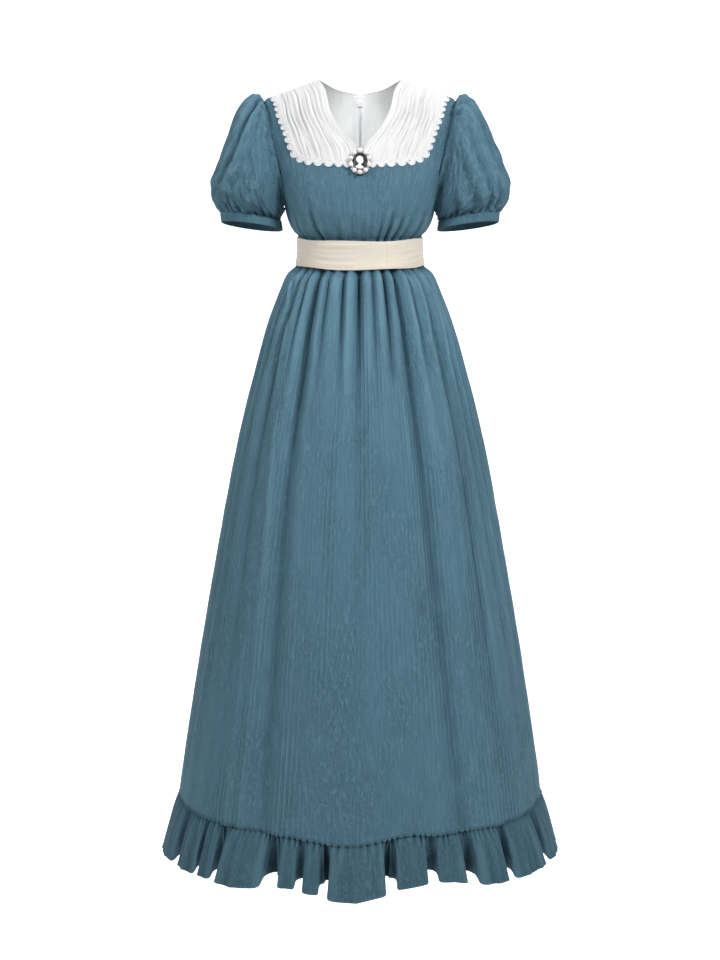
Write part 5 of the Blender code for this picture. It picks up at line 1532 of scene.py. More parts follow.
def tube(points, radius, closed=False, sides=5):
    """Vertices and faces of round yarn along a line of points."""
    points = np.asarray(points, float)
    if closed:
        run = np.roll(points, -1, axis=0) - np.roll(points, 1, axis=0)
    else:
        run = np.gradient(points, axis=0)
    run = unit(run)
    side = unit(np.cross(run, np.array([0.31, 0.87, 0.39])))
    other = np.cross(run, side)
    angles = round_angles(sides)[None, :, None]
    rings = points[:, None] + radius * (side[:, None] * np.cos(angles) + other[:, None] * np.sin(angles))
    count = len(points)
    numbers = np.arange(count * sides).reshape(count, sides)
    if closed:
        numbers = np.concatenate([numbers, numbers[:1]])
    after = np.roll(numbers, -1, axis=1)
    quads = np.stack([numbers[:-1], after[:-1], after[1:], numbers[1:]], axis=-1).reshape(-1, 4).tolist()
    if not closed:
        quads += [numbers[0, ::-1].tolist(), numbers[-1].tolist()]
    return rings.reshape(-1, 3), quads


def joined(parts):
    """Many small shapes as one list of vertices and faces."""
    points, faces, first = [], [], 0
    for some_points, some_faces in parts:
        points.append(some_points)
        faces += [[first + k for k in face] for face in some_faces]
        first += len(some_points)
    return np.concatenate(points), faces


def add_tubes(name, parts, finish):
    """One piece made of many lengths of yarn or wire."""
    mesh = plain_mesh(name, *joined(parts))
    mesh.shade_smooth()
    return add_piece(name, mesh, finish)


# Stitch rows: how far apart and how long the stitches are, and the thread's half thickness
STITCH_PITCH = 0.0030
STITCH_LENGTH = 0.0021
THREAD_RADIUS = 0.00026
STITCH_HEIGHT = 1.6


def add_stitches(node, rows, finish):
    """Stitch rows on a node's cloth. Each row is a line of points, with the directions out of the cloth."""
    parts = []
    for points, normals in rows:
        lengths = np.concatenate([[0.0], np.cumsum(np.linalg.norm(np.diff(points, axis=0), axis=1))])
        middle = np.arange(STITCH_PITCH / 2, lengths[-1] - STITCH_PITCH / 2, STITCH_PITCH)
        before, after = middle - STITCH_LENGTH / 2, middle + STITCH_LENGTH / 2
        start, end, out, centre = (
            np.stack([np.interp(at, lengths, table[:, axis]) for axis in range(3)], axis=-1)
            for at, table in ((before, points), (after, points), (middle, normals), (middle, points))
        )
        out = unit(out)
        side = unit(np.cross(out, end - start))
        across, up = side * THREAD_RADIUS, out * THREAD_RADIUS
        middles = [centre + across, centre + STITCH_HEIGHT * up, centre - across, centre - up]
        corners = np.stack([start, end, *middles], axis=1)
        first = 6 * np.arange(len(middle))[:, None]
        faces = []
        for k in range(4):
            n = (k + 1) % 4
            faces += [first + np.array([0, 2 + n, 2 + k]), first + np.array([1, 2 + k, 2 + n])]
        parts.append((corners.reshape(-1, 3), np.concatenate(faces).tolist()))
    name = f"{node}_stitches"
    return add_piece(name, plain_mesh(name, *joined(parts)), finish)


# Lace over the front yoke seam
LACE_ON_YOKE = 0.0020
LACE_ON_BODICE = 0.0002
SCALLOP_DEPTH = 0.0096
LACE_HALF_GAP = 0.0004
LACE_COLUMNS_A_SCALLOP = 16
LACE_LIFT = 0.0012
LACE_ROWS = 10
EYELET_ROW = 2

# Lace yarns: half thickness of the scallop's edge, its inner arch, its ring, its spokes and the two cords
EDGE_YARN = 0.00080
ARCH_YARN = 0.00042
RING_YARN = 0.00062
SPOKE_YARN = 0.00034
CORD_YARN = 0.00045
THIN_CORD_YARN = 0.00036
RING_CENTRE = LACE_ON_BODICE + 0.0032
RING_RADIUS = 0.0014
SPOKE_ANGLES = (15.0, 52.0, 90.0, 128.0, 165.0)

# How far across half a scallop its edge, inner arch and ring reach, how deep they are, and points along a yarn
EDGE_SHARE, ARCH_SHARE, RING_SHARE = 0.96, 0.72, 0.26
PICOT_DEPTH, PICOTS = 0.00055, 6.0
ARCH_INSET, SPOKE_INSET = 0.0013, 0.0042
ARCH_POINTS, RING_POINTS, SPOKE_POINTS, CORD_POINTS_A_SCALLOP = 34, 30, 6, 26
TWISTS_A_SCALLOP = 4.0


def on_yoke_edge(share, aside, lift):
    """Points over the front yoke edge, a distance aside from it and a height above the cloth."""
    places = edge_place(FRONT_YOKE_EDGE, share, False, aside)
    turn, level = places[..., 0], places[..., 1]
    points = body(turn, level) + normal(turn, level) * np.asarray(lift)[..., None]
    points[..., 0] = np.maximum(points[..., 0], LACE_HALF_GAP)
    return points


def lace_yarns():
    """Loops, rings and cords of one side's lace."""
    parts = []

    def yarn(share, aside, lift, radius, closed=False):
        parts.append(tube(on_yoke_edge(share, aside, lift + 0.0 * share), radius, closed))

    turn = round_angles(RING_POINTS)
    arch = np.linspace(0.0, math.pi, ARCH_POINTS)
    reach = np.linspace(0.0, 1.0, SPOKE_POINTS)
    half = 0.5 / SCALLOPS
    for k in range(SCALLOPS):
        middle = (k + 0.5) / SCALLOPS
        picot = PICOT_DEPTH * np.abs(np.sin(PICOTS * arch))
        aside = LACE_ON_BODICE + 0.0002 + SCALLOP_DEPTH * np.sin(arch) + picot
        yarn(middle - EDGE_SHARE * half * np.cos(arch), aside, LACE_LIFT + 0.0005, EDGE_YARN)
        aside = LACE_ON_BODICE - 0.0010 + (SCALLOP_DEPTH - ARCH_INSET) * np.sin(arch)
        yarn(middle - ARCH_SHARE * half * np.cos(arch), aside, LACE_LIFT + 0.0001, ARCH_YARN)
        share = np.clip(middle + RING_SHARE * half * np.cos(turn), 0.0, 1.0)
        yarn(share, RING_CENTRE + RING_RADIUS * np.sin(turn), LACE_LIFT + 0.0005, RING_YARN, True)
        for spoke in np.radians(SPOKE_ANGLES):
            share = middle + half * np.cos(spoke) * between(RING_SHARE, ARCH_SHARE, reach)
            aside = RING_CENTRE + np.sin(spoke) * between(RING_RADIUS, SCALLOP_DEPTH - SPOKE_INSET, reach)
            yarn(share, aside, LACE_LIFT, SPOKE_YARN)
    share = np.linspace(0.004, 0.998, SCALLOPS * CORD_POINTS_A_SCALLOP)
    for phase in (0.0, math.pi):
        twist = share * SCALLOPS * TWISTS_A_SCALLOP * 2.0 * math.pi + phase
        lift = LACE_LIFT + 0.0003 + 0.00035 * np.cos(twist)
        yarn(share, -0.0007 + 0.00075 * np.sin(twist), lift, CORD_YARN)
        twist = twist * 1.5
        lift = LACE_LIFT + 0.0002 + 0.0003 * np.cos(twist)
        yarn(share, 0.0008 + 0.0006 * np.sin(twist), lift, THIN_CORD_YARN)
    return parts


def add_lace(finishes):
    """Scalloped lace that covers the seam between yoke front and bodice front."""
    made = []
    cotton = finishes["lace_cotton"]
    share = spread(SCALLOPS * LACE_COLUMNS_A_SCALLOP)[None, :]
    down = spread(LACE_ROWS)[:, None]
    bulge = np.abs(np.sin(math.pi * SCALLOPS * share)) ** 0.92
    aside = between(-LACE_ON_YOKE, LACE_ON_BODICE + SCALLOP_DEPTH * bulge, down)
    share, aside = np.broadcast_arrays(share, aside)
    dimple = 0.0002 * np.sin(math.pi * 2.0 * SCALLOPS * share) * np.sin(math.pi * down)
    points = on_yoke_edge(share, aside, LACE_LIFT - 0.0001 + dimple)
    marks = np.stack([share * LACE_LENGTH, aside], axis=-1)
    columns = np.arange(points.shape[1])
    for first in (0, LACE_COLUMNS_A_SCALLOP // 2):
        points[EYELET_ROW, columns[first + 1::LACE_COLUMNS_A_SCALLOP]] = np.nan
    yarns = lace_yarns()
    for name, sign in SIDES:
        node, flip = f"lace_{name}", sign < 0.0
        made.append(add_cloth(node, "ground", on_side(points, sign), marks, cotton, LACE_CLOTH, flip=flip))
        parts = [(on_side(line, sign), [face[::-1] for face in faces] if flip else faces) for line, faces in yarns]
        made.append(add_tubes(f"{node}_yarn", parts, cotton))
    return made


def sheet_normals(points, closed=False):
    """Directions straight out of rows of points."""
    if closed:
        run = np.roll(points, -1, axis=1) - np.roll(points, 1, axis=1)
    else:
        run = np.gradient(points, axis=1)
    return unit(np.cross(run, np.gradient(points, axis=0)))


def puff_surface(rings, places, angles):
    """Points on a sleeve or cuff, by rings along it and angles round it.
    Angle 0 is the outer side, and a quarter turn from it is the front."""
    ring = {name: read(rings, "place", name, places)[:, None] for name in Puff._fields[1:]}
    across, forward = np.cos(angles)[None, :], np.sin(angles)[None, :]
    depth = np.where(forward > 0.0, ring["front"], ring["back"])
    x = (ring["outer_x"] + ring["inner_x"]) / 2 + (ring["outer_x"] - ring["inner_x"]) / 2 * across
    z = (ring["outer_z"] + ring["inner_z"]) / 2 + (ring["outer_z"] - ring["inner_z"]) / 2 * across
    y = RIDGE_Y - depth * forward
    return np.stack(np.broadcast_arrays(x, y, z + ring["tilt"] * forward), axis=-1)


def armhole_points(angles):
    """Points where the sleeve's cloth starts, just under the bodice's edge."""
    share = np.where(angles <= math.pi, angles / math.pi, 2.0 - angles / math.pi)
    front = bodice_surface(armhole_place(share, False))
    back = bodice_surface(armhole_place(share, True))
    return np.where((angles <= math.pi)[:, None], front, back) + np.array([SLEEVE_START, 0.0, 0.0])


CUFF_ROWS = 12
CUFF_STITCH_ROWS = (1, 11)
CUFF_ROLL = 0.0008
CUFF_SOFT = 0.0004
CUFF_PUCKER = 0.00025
SLEEVE_COLUMNS = 192
SLEEVE_ROWS = 84
SLEEVE_HEAD_SHARES = (0.0, 0.05, 0.10, 0.16, 0.24, 0.36, 0.54, 0.76)

# Long soft folds of a sleeve. Each row runs through three angles, in degrees, between two places.
SleeveFold = namedtuple("SleeveFold", "place_start angle_start angle_middle place_end angle_end height width")
RIGHT_SLEEVE_FOLDS = [
    SleeveFold(-0.6, 17.0, 45.0, 8.0, 33.0, -0.0180, 5.0),
    SleeveFold(-0.4, 29.0, 57.0, 8.2, 46.0, 0.0040, 7.0),
    SleeveFold(0.3, 6.0, 29.0, 7.5, 18.0, 0.0030, 7.0),
    SleeveFold(0.0, 44.0, 70.0, 5.0, 72.0, -0.0030, 6.0),
    SleeveFold(2.5, 84.0, 86.0, 9.4, 84.0, -0.0034, 6.0),
    SleeveFold(3.0, 100.0, 100.0, 9.6, 100.0, 0.0032, 8.0),
    SleeveFold(4.5, 68.0, 66.0, 9.6, 64.0, -0.0032, 6.0),
    SleeveFold(5.0, 118.0, 118.0, 9.8, 116.0, -0.0034, 6.0),
    SleeveFold(1.0, 205.0, 210.0, 9.0, 215.0, -0.0036, 11.0),
    SleeveFold(1.5, 250.0, 256.0, 9.5, 262.0, 0.0036, 12.0),
    SleeveFold(0.5, 300.0, 304.0, 8.0, 308.0, -0.0040, 9.0),
    SleeveFold(1.0, 334.0, 336.0, 8.0, 338.0, 0.0028, 10.0),
]
LEFT_SLEEVE_FOLDS = [
    SleeveFold(0.2, 24.0, 30.0, 7.5, 26.0, -0.0038, 6.5),
    SleeveFold(0.0, 40.0, 46.0, 8.5, 40.0, 0.0034, 9.0),
    SleeveFold(0.4, 58.0, 64.0, 9.4, 62.0, -0.0044, 6.0),
    SleeveFold(1.5, 74.0, 78.0, 9.6, 76.0, 0.0036, 8.0),
    SleeveFold(2.5, 92.0, 92.0, 9.6, 92.0, -0.0044, 6.5),
    SleeveFold(3.5, 110.0, 108.0, 9.8, 108.0, 0.0032, 8.0),
    SleeveFold(5.0, 124.0, 122.0, 9.8, 121.0, -0.0036, 6.0),
    SleeveFold(6.0, 50.0, 50.0, 9.8, 50.0, -0.0034, 5.0),
    SleeveFold(3.0, 8.0, 8.0, 9.5, 8.0, 0.0026, 9.0),
    SleeveFold(1.0, 210.0, 207.0, 9.0, 204.0, 0.0036, 11.0),
    SleeveFold(1.5, 243.0, 246.0, 9.5, 250.0, -0.0038, 10.0),
    SleeveFold(0.5, 288.0, 291.0, 8.5, 295.0, 0.0036, 12.0),
    SleeveFold(1.0, 330.0, 328.0, 8.0, 326.0, -0.0032, 9.0),
]


def round_hum(angles, seed, counts):
    """An uneven ripple round a ring, of about -1 to 1, made of whole numbers of waves."""
    draw = np.random.RandomState(seed)
    total = 0.0
    for count in counts:
        total = total + draw.uniform(0.6, 1.0) * np.cos(count * angles + draw.uniform(0.0, 2.0 * math.pi))
    return total / math.sqrt(len(counts))


# Depths of a sleeve's small forms: gathers at the cuff and looser ones above, ripples at its head, the crease
# along the armhole seam and the softer one beside it, soft unevenness, and wide and fine crinkles
SLEEVE_TIGHT, SLEEVE_LOOSE, SLEEVE_HEAD = 0.0115, 0.0024, 0.0020
SLEEVE_CREASE, SLEEVE_SOFT_CREASE = 0.0060, 0.0030
SLEEVE_SOFT, SLEEVE_CRINKLE, SLEEVE_FINE = 0.0022, 0.0009, 0.0004
SLEEVE_END = PUFF_RINGS[-1].place


def sleeve_relief(places, angles, folds, seed):
    """Height of a sleeve's folds and gathers above its plain puff."""
    place_at, angle = places[:, None], np.degrees(angles)[None, :]
    height = 0.0
    for fold in folds:
        along = (place_at - fold.place_start) / (fold.place_end - fold.place_start)
        run = np.clip(along, 0.0, 1.0)
        bend = 4.0 * run * (1.0 - run)
        straight = between(fold.angle_start, fold.angle_end, run)
        centre = straight + bend * (fold.angle_middle - (fold.angle_start + fold.angle_end) / 2.0)
        away = (angle - centre + 180.0) % 360.0 - 180.0
        strength = ease(along / 0.22) * ease((1.0 - along) / 0.30)
        height = height + fold.height * strength * bump(away, 0.0, fold.width)
    left = SLEEVE_END - place_at
    uneven = 0.75 + 0.25 * round_hum(angles, seed + 3, (3, 5, 7))[None, :]
    warp = 12.0 * angles + 0.55 * round_hum(angles, seed + 4, (3, 5, 8))
    long_gather = 0.7 + 0.3 * np.cos(5.0 * angles + 1.0)[None, :]
    near_cuff = np.exp(-((left / (1.9 * long_gather)) ** 1.4)) * ease(left / 0.10)
    gathered = SLEEVE_TIGHT * near_cuff * uneven * gathers(warp, 2.0)[None, :]
    loose = SLEEVE_LOOSE * np.exp(-left / 2.4) * ease(left / 0.5)
    loose = loose * round_hum(angles, seed, (8, 11, 13, 17))[None, :]
    near_head = np.exp(-np.maximum(0.0, place_at) / 0.9) * ease((place_at + 1.0) / 0.8)
    top_half = 0.25 + 0.75 * ease((np.cos(angles) + 0.3) / 0.8)
    head = SLEEVE_HEAD * near_head * top_half * round_hum(angles, seed + 5, (15, 21, 26))[None, :]
    crease = -SLEEVE_CREASE * bump(place_at, -0.84, 0.13)
    crease = crease - SLEEVE_SOFT_CREASE * bump(place_at, -0.50, 0.36)
    free = ease((place_at + 1.0) / 1.2) * ease(left / 1.0)
    u, v = 0.1 * np.cos(angles)[None, :], 0.1 * np.sin(angles)[None, :]
    soft = SLEEVE_SOFT * cloudy(u + place_at * 0.004, v + place_at * 0.015, seed + 1, 0.06)
    crinkle = SLEEVE_CRINKLE * cloudy(u + place_at * 0.010, v + place_at * 0.022, seed + 2, 0.014)
    crinkle = crinkle + SLEEVE_FINE * cloudy(u + place_at * 0.013, v + place_at * 0.018, seed + 6, 0.007)
    return height + gathered + loose + head + crease + (soft + crinkle) * free


def round_marks(girth, lengths):
    """Marks of a closed sleeve or cuff, in metres of cloth round it and along it."""
    around = np.arange(SLEEVE_COLUMNS + 1)[None, :] / SLEEVE_COLUMNS
    return np.stack(np.broadcast_arrays(around * girth, lengths[:, None]), axis=-1)


SLEEVE_SIDES = {"left": (61, LEFT_SLEEVE_FOLDS), "right": (71, RIGHT_SLEEVE_FOLDS)}
SLEEVE_EDGE_HEIGHT = -0.0012


def add_sleeves(finishes):
    """Puff sleeves from the armholes, gathered into narrow cuffs."""
    cloth = finishes["blue_crepe"]
    angles = round_angles(SLEEVE_COLUMNS)
    main_places = SLEEVE_END * spread(SLEEVE_ROWS)
    main = puff_surface(PUFF_RINGS, main_places, angles)
    shares = np.array(SLEEVE_HEAD_SHARES)
    head = between(armhole_points(angles)[None], main[:1], shares[:, None, None])
    plain = np.concatenate([head, main])
    places = np.concatenate([shares - 1.0, main_places])
    normals = sheet_normals(plain, True)
    cuff = puff_surface(CUFF_RINGS, np.array([0.0, SLEEVE_TUCK_PLACE]), angles)
    tucked = (cuff - SLEEVE_TUCK * sheet_normals(cuff, True))[1]
    marks = round_marks(SLEEVE_GIRTH, places * SLEEVE_PLACE_LENGTH)
    made = []
    for name, sign in SIDES:
        seed, folds = SLEEVE_SIDES[name]
        height = sleeve_relief(places, angles, folds, seed)
        height[0] = SLEEVE_EDGE_HEIGHT
        points = plain + normals * height[..., None]
        points[-1] = tucked
        node, sided, flip = f"sleeve_{name}", on_side(points, sign), sign < 0.0
        made.append(add_cloth(node, "cloth", sided, marks, cloth, CLOTH, True, flip, SLEEVE_REACH))
    return made


CUFF_SEEDS = {"left": 81, "right": 85}


def add_cuffs(finishes):
    """Narrow cuff bands, folded over at both edges."""
    angles = round_angles(SLEEVE_COLUMNS)
    u, v = np.cos(angles)[None, :], np.sin(angles)[None, :]
    shares = spread(CUFF_ROWS)
    base = puff_surface(CUFF_RINGS, shares, angles)
    normals = sheet_normals(base, True)
    roll = CUFF_ROLL * (1.0 - (2.0 * shares - 1.0) ** 8)[:, None]
    marks = round_marks(CUFF_GIRTH, shares * CUFF_LENGTH)
    made = []
    for name, sign in SIDES:
        node = f"cuff_{name}"
        along = v * 0.05 + shares[:, None] * 0.006
        height = roll + CUFF_SOFT * cloudy(u * 0.05, along, CUFF_SEEDS[name], 0.015)
        height = height + CUFF_PUCKER * np.sin(23.0 * angles)[None, :] * (1.0 - ease(shares / 0.4))[:, None]
        sided = on_side(base + normals * height[..., None], sign)
        made.append(add_cloth(node, "band", sided, marks, finishes["blue_crepe"], CUFF_CLOTH, True, sign < 0.0))
        outwards = sheet_normals(sided, True) * sign
        rows = [(sided[k], outwards[k]) for k in CUFF_STITCH_ROWS]
        made.append(add_stitches(node, rows, finishes["blue_thread"]))
    return made


# Sash: its rows and columns, the join on the wearer's left with its width in degrees, and the depths of its
# wrinkles, its unevenness, its thinner edges and its wavy run
SASH_ROWS = 20
SASH_COLUMNS = 360
SASH_JOIN_TURN = 20.5
SASH_JOIN_WIDTH = 0.7
SASH_JOIN_DEPTH = 0.0006
SASH_WRINKLE, SASH_SOFT, SASH_EDGE, SASH_WAVE = 0.00040, 0.0007, 0.0004, 0.0006


def add_sash(finishes):
    """Cream sash, one folded strip whose ends lap at the centre back."""
    share = spread(SASH_ROWS)[:, None]
    turn = between(SASH_START, SASH_END, spread(SASH_COLUMNS))[None, :]
    turn, level = np.broadcast_arrays(turn, between(SASH_BOTTOM, SASH_TOP, share))
    lap = ease((turn - SASH_LAP_START) / (SASH_LAP_FULL - SASH_LAP_START))
    out = SASH_CLEARANCE + SASH_CLOTH + lap * (SASH_CLOTH + SEAM_GAP)
    turns = turn / 180.0
    edge = 1.0 - (2.0 * share - 1.0) ** 10
    drift = share * 7.0 + 1.2 * hum(turns, 91, 0.6, 1.8)
    wrinkles = SASH_WRINKLE * hum(drift / 7.0, 92, 2.0, 5.0) * ease(0.5 + 0.9 * hum(turns, 93, 0.8, 2.6))
    soft = SASH_SOFT * (1.0 + cloudy(turns * 0.6, share * 0.1, 94, 0.10))
    join = -SASH_JOIN_DEPTH * bump(turn, SASH_JOIN_TURN, SASH_JOIN_WIDTH)
    out = out + (wrinkles + soft * 0.5) * edge + SASH_EDGE * edge + join
    points = body(turn, level) + outward(turn, level) * out[..., None]
    points[..., 2] += SASH_WAVE * hum(turns, 95, 1.0, 3.0) * (2.0 * share - 1.0)
    marks = np.stack([turn * SASH_DEGREE, level], axis=-1)
    return [add_cloth("sash", "band", points, marks, finishes["cream_satin"], SASH_CLOTH)]


def zip_half_gap(level):
    """Half the opening between the two zip tapes, wide only behind the slider."""
    rows = BACK_NECK_EDGE[2:]
    return read(rows, "level", "x", np.maximum(level, rows[-1].level))


# Zip: rows and columns of a tape, the columns with stitches, the coil and the softened edges of the slider
ZIP_ROWS = 150
ZIP_COLUMNS = 6
ZIP_STITCH_COLUMNS = (1, 5)
SLIDER_EDGE = 0.00022
SLIDER_EDGE_ANGLE = 35.0
COIL_STEPS = 6
COIL_PITCH = 0.0013
COIL_RADIUS = 0.0010
COIL_WIRE = 0.0003
TEETH_TOP = -0.0470


def inside_back(x, level, deep):
    """Points inside the centre back at a distance behind the outer face of the cloth."""
    turn = turn_at(x, level, True)
    upper = bodice_surface(np.stack(np.broadcast_arrays(turn, level), axis=-1))
    lower = skirt_surface(turn, np.minimum(level, WAIST_SEAM))
    points = np.where((level > WAIST_SEAM)[..., None], upper, lower) - normal(turn, level) * deep
    points[..., 0] = x
    return points


def add_zip(finishes):
    """White zip tapes inside the centre back, with their coil and the slider and pull."""
    tape = finishes["white_tape"]
    level = between(ZIP_TOP, ZIP_BOTTOM, spread(ZIP_ROWS))[:, None]
    across = ZIP_TAPE_WIDTH * spread(ZIP_COLUMNS)[None, :]
    x, level = np.broadcast_arrays(zip_half_gap(level) + across, level)
    deep = CLOTH + ZIP_TAPE_GAP
    points = inside_back(x, level, deep)
    marks = np.stack([x, level], axis=-1)
    made = []
    for name, sign in SIDES:
        node, sided = f"zip_tape_{name}", on_side(points, sign)
        made.append(add_cloth(node, "weave", sided, marks, tape, ZIP_TAPE_CLOTH, flip=sign < 0.0))
        inwards = np.broadcast_to(np.array([0.0, -1.0, 0.0]), (len(sided), 3))
        to_face = inwards * (ZIP_TAPE_CLOTH + THREAD_RADIUS / 2)
        rows = [(sided[:, k] + to_face, inwards) for k in ZIP_STITCH_COLUMNS]
        # The tape's stitches are painted dark grey to stand in for the shadow lines along its edges: painted
        # shadow on real stitching
        made.append(add_stitches(node, rows, finishes["grey_thread"]))
    turns = int((TEETH_TOP - ZIP_BOTTOM) / COIL_PITCH)
    steps = np.arange(turns * COIL_STEPS)
    angle = steps * math.pi / (COIL_STEPS / 2)
    down = between(TEETH_TOP, ZIP_BOTTOM, steps / steps[-1])
    coil_deep = deep + ZIP_TAPE_CLOTH + COIL_RADIUS + COIL_WIRE
    centre = inside_back(np.zeros_like(down) + CENTRE_BACK_HALF_GAP, down, coil_deep)
    winding = np.stack([1.6 * COIL_RADIUS * np.cos(angle), COIL_RADIUS * np.sin(angle), 0.0 * angle], axis=-1)
    made.append(add_tubes("zip_coil", [tube(centre + winding, COIL_WIRE, sides=4)], tape))
    for name in ("zip_slider", "zip_pull"):
        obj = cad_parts[name]
        obj.data.materials.clear()
        obj.data.materials.append(finishes["white_enamel"].material)
        soften = obj.modifiers.new("soft edges", "BEVEL")
        soften.width = SLIDER_EDGE
        soften.segments = 3
        soften.limit_method = "ANGLE"
        soften.angle_limit = math.radians(SLIDER_EDGE_ANGLE)
    return made


def frame_at(turn, level, out):
    """Axes at a place on the cloth: x across, y up along the cloth, z out of it."""
    outwards = Vector(normal(np.array(turn), np.array(level)))
    across = Vector((math.cos(math.radians(turn)), math.sin(math.radians(turn)), 0.0))
    up = outwards.cross(across).normalized()
    across = up.cross(outwards)
    axes = Matrix((across, up, outwards)).transposed().to_4x4()
    axes.translation = Vector(body(turn, level)) + outwards * out
    return axes


def placed(axes, points):
    """Points given along a place's axes, in the dress's own axes."""
    turning = np.array(axes.to_3x3())
    return np.asarray(points, float) @ turning.T + np.array(axes.translation)


def turned_oval(profile, columns):
    """Vertices and faces of an oval solid. Its profile runs from pole to pole: half width, half height, depth."""
    angles = round_angles(columns)
    profile = np.array(profile)
    rings = profile[1:-1]
    wide, high, deep = (rings[:, axis:axis + 1] for axis in range(3))
    points = np.stack([wide * np.cos(angles), high * np.sin(angles), deep + 0.0 * angles], axis=-1).reshape(-1, 3)
    points = np.concatenate([points, [[0.0, 0.0, profile[0, 2]], [0.0, 0.0, profile[-1, 2]]]])
    count = len(rings)
    faces = []
    for i in range(count - 1):
        for k in range(columns):
            n = (k + 1) % columns
            faces.append([i * columns + k, i * columns + n, (i + 1) * columns + n, (i + 1) * columns + k])
    first, last = count * columns, count * columns + 1
    for k in range(columns):
        n = (k + 1) % columns
        faces.append([first, n, k])
        faces.append([(count - 1) * columns + k, (count - 1) * columns + n, last])
    return points, faces


def ball(centre, radii, columns, rings):
    """Vertices and faces of a ball with its own radius each way."""
    heights = np.linspace(-math.pi / 2, math.pi / 2, rings + 1)
    profile = [(math.cos(a), math.cos(a), math.sin(a)) for a in heights]
    points, faces = turned_oval(profile, columns)
    return points * np.asarray(radii) + np.asarray(centre), faces


def smooth_outline(corners, steps):
    """A closed curve through the corners."""
    corners = np.asarray(corners, float)
    t = (np.arange(steps) / steps)[None, :, None]
    a, b, c, d = (np.roll(corners, -k, axis=0)[:, None] for k in (-1, 0, 1, 2))
    squared, cubed = 2.0 * a - 5.0 * b + 4.0 * c - d, 3.0 * b - a - 3.0 * c + d
    return (0.5 * (2.0 * b + (c - a) * t + squared * t**2 + cubed * t**3)).reshape(-1, 2)


def inner_distance(points, outline):
    """Distance of each point from a closed outline, above 0 inside it."""
    start, end = outline, np.roll(outline, -1, axis=0)
    run = end - start
    away = points[:, None] - start[None]
    along = np.clip((away * run).sum(-1) / np.maximum((run * run).sum(-1), 1e-18), 0.0, 1.0)
    gap = np.linalg.norm(away - along[..., None] * run, axis=-1).min(axis=1)
    y, x = points[:, 1:2], points[:, 0:1]
    spans = (start[None, :, 1] > y) != (end[None, :, 1] > y)
    rise = np.where(np.abs(run[:, 1]) > 1e-12, run[:, 1], 1e-12)
    crossing = start[None, :, 0] + (y - start[None, :, 1]) * run[None, :, 0] / rise
    inside = (spans & (x < crossing)).sum(axis=1) % 2 == 1
    return np.where(inside, gap, -gap)


# The white bust of the brooch, in shares of the cameo's half height. It faces the wearer's left.
OutlinePoint = namedtuple("OutlinePoint", "across up")
BUST_OUTLINE = [
    OutlinePoint(0.30, -0.50),
    OutlinePoint(0.12, -0.36),
    OutlinePoint(0.14, -0.16),
    OutlinePoint(0.28, -0.12),
    OutlinePoint(0.32, 0.00),
    OutlinePoint(0.31, 0.11),
    OutlinePoint(0.38, 0.14),
    OutlinePoint(0.30, 0.28),
    OutlinePoint(0.31, 0.38),
    OutlinePoint(0.26, 0.56),
    OutlinePoint(0.08, 0.70),
    OutlinePoint(-0.16, 0.68),
    OutlinePoint(-0.36, 0.50),
    OutlinePoint(-0.42, 0.26),
    OutlinePoint(-0.30, 0.02),
    OutlinePoint(-0.14, -0.18),
    OutlinePoint(-0.26, -0.36),
    OutlinePoint(-0.46, -0.52),
    OutlinePoint(-0.34, -0.70),
    OutlinePoint(0.02, -0.80),
    OutlinePoint(0.36, -0.72),
]
HAIR_OUTLINE = [
    OutlinePoint(0.24, 0.46),
    OutlinePoint(0.26, 0.58),
    OutlinePoint(0.08, 0.72),
    OutlinePoint(-0.18, 0.70),
    OutlinePoint(-0.38, 0.52),
    OutlinePoint(-0.44, 0.26),
    OutlinePoint(-0.32, 0.02),
    OutlinePoint(-0.18, 0.00),
    OutlinePoint(-0.06, 0.14),
    OutlinePoint(0.02, 0.34),
]
DRESS_OUTLINE = [
    OutlinePoint(0.32, -0.54),
    OutlinePoint(0.10, -0.50),
    OutlinePoint(-0.14, -0.52),
    OutlinePoint(-0.30, -0.42),
    OutlinePoint(-0.48, -0.54),
    OutlinePoint(-0.36, -0.72),
    OutlinePoint(0.02, -0.82),
    OutlinePoint(0.38, -0.74),
]
OUTLINE_STEPS = 6
BUST_STEP = 0.00022
BUST_SIZE = np.array([1.22, 1.08])
BUST_GROUND = 0.00025
BUST_ACROSS = (-0.50, 0.46)
BUST_UP = (-0.86, 0.80)


# Heights on the bust: its rounded edge and its middle, hair and curls, bun, dress and its folds
BUST_EDGE, BUST_MIDDLE = 0.00075, 0.00035
HAIR_HEIGHT, CURL_HEIGHT, BUN_HEIGHT = 0.00030, 0.00010, 0.00045
DRESS_HEIGHT, DRESS_FOLD_HEIGHT = 0.00022, 0.00008

# Cheek, eye socket, lid and jaw: place, spread each way and height
Form = namedtuple("Form", "x y wide high height")
FACE_FORMS = [
    Form(0.14, 0.10, 0.10, 0.11, 0.00018),
    Form(0.23, 0.31, 0.05, 0.035, -0.00016),
    Form(0.23, 0.295, 0.028, 0.018, 0.00009),
    Form(0.06, -0.16, 0.09, 0.05, -0.00030),
]


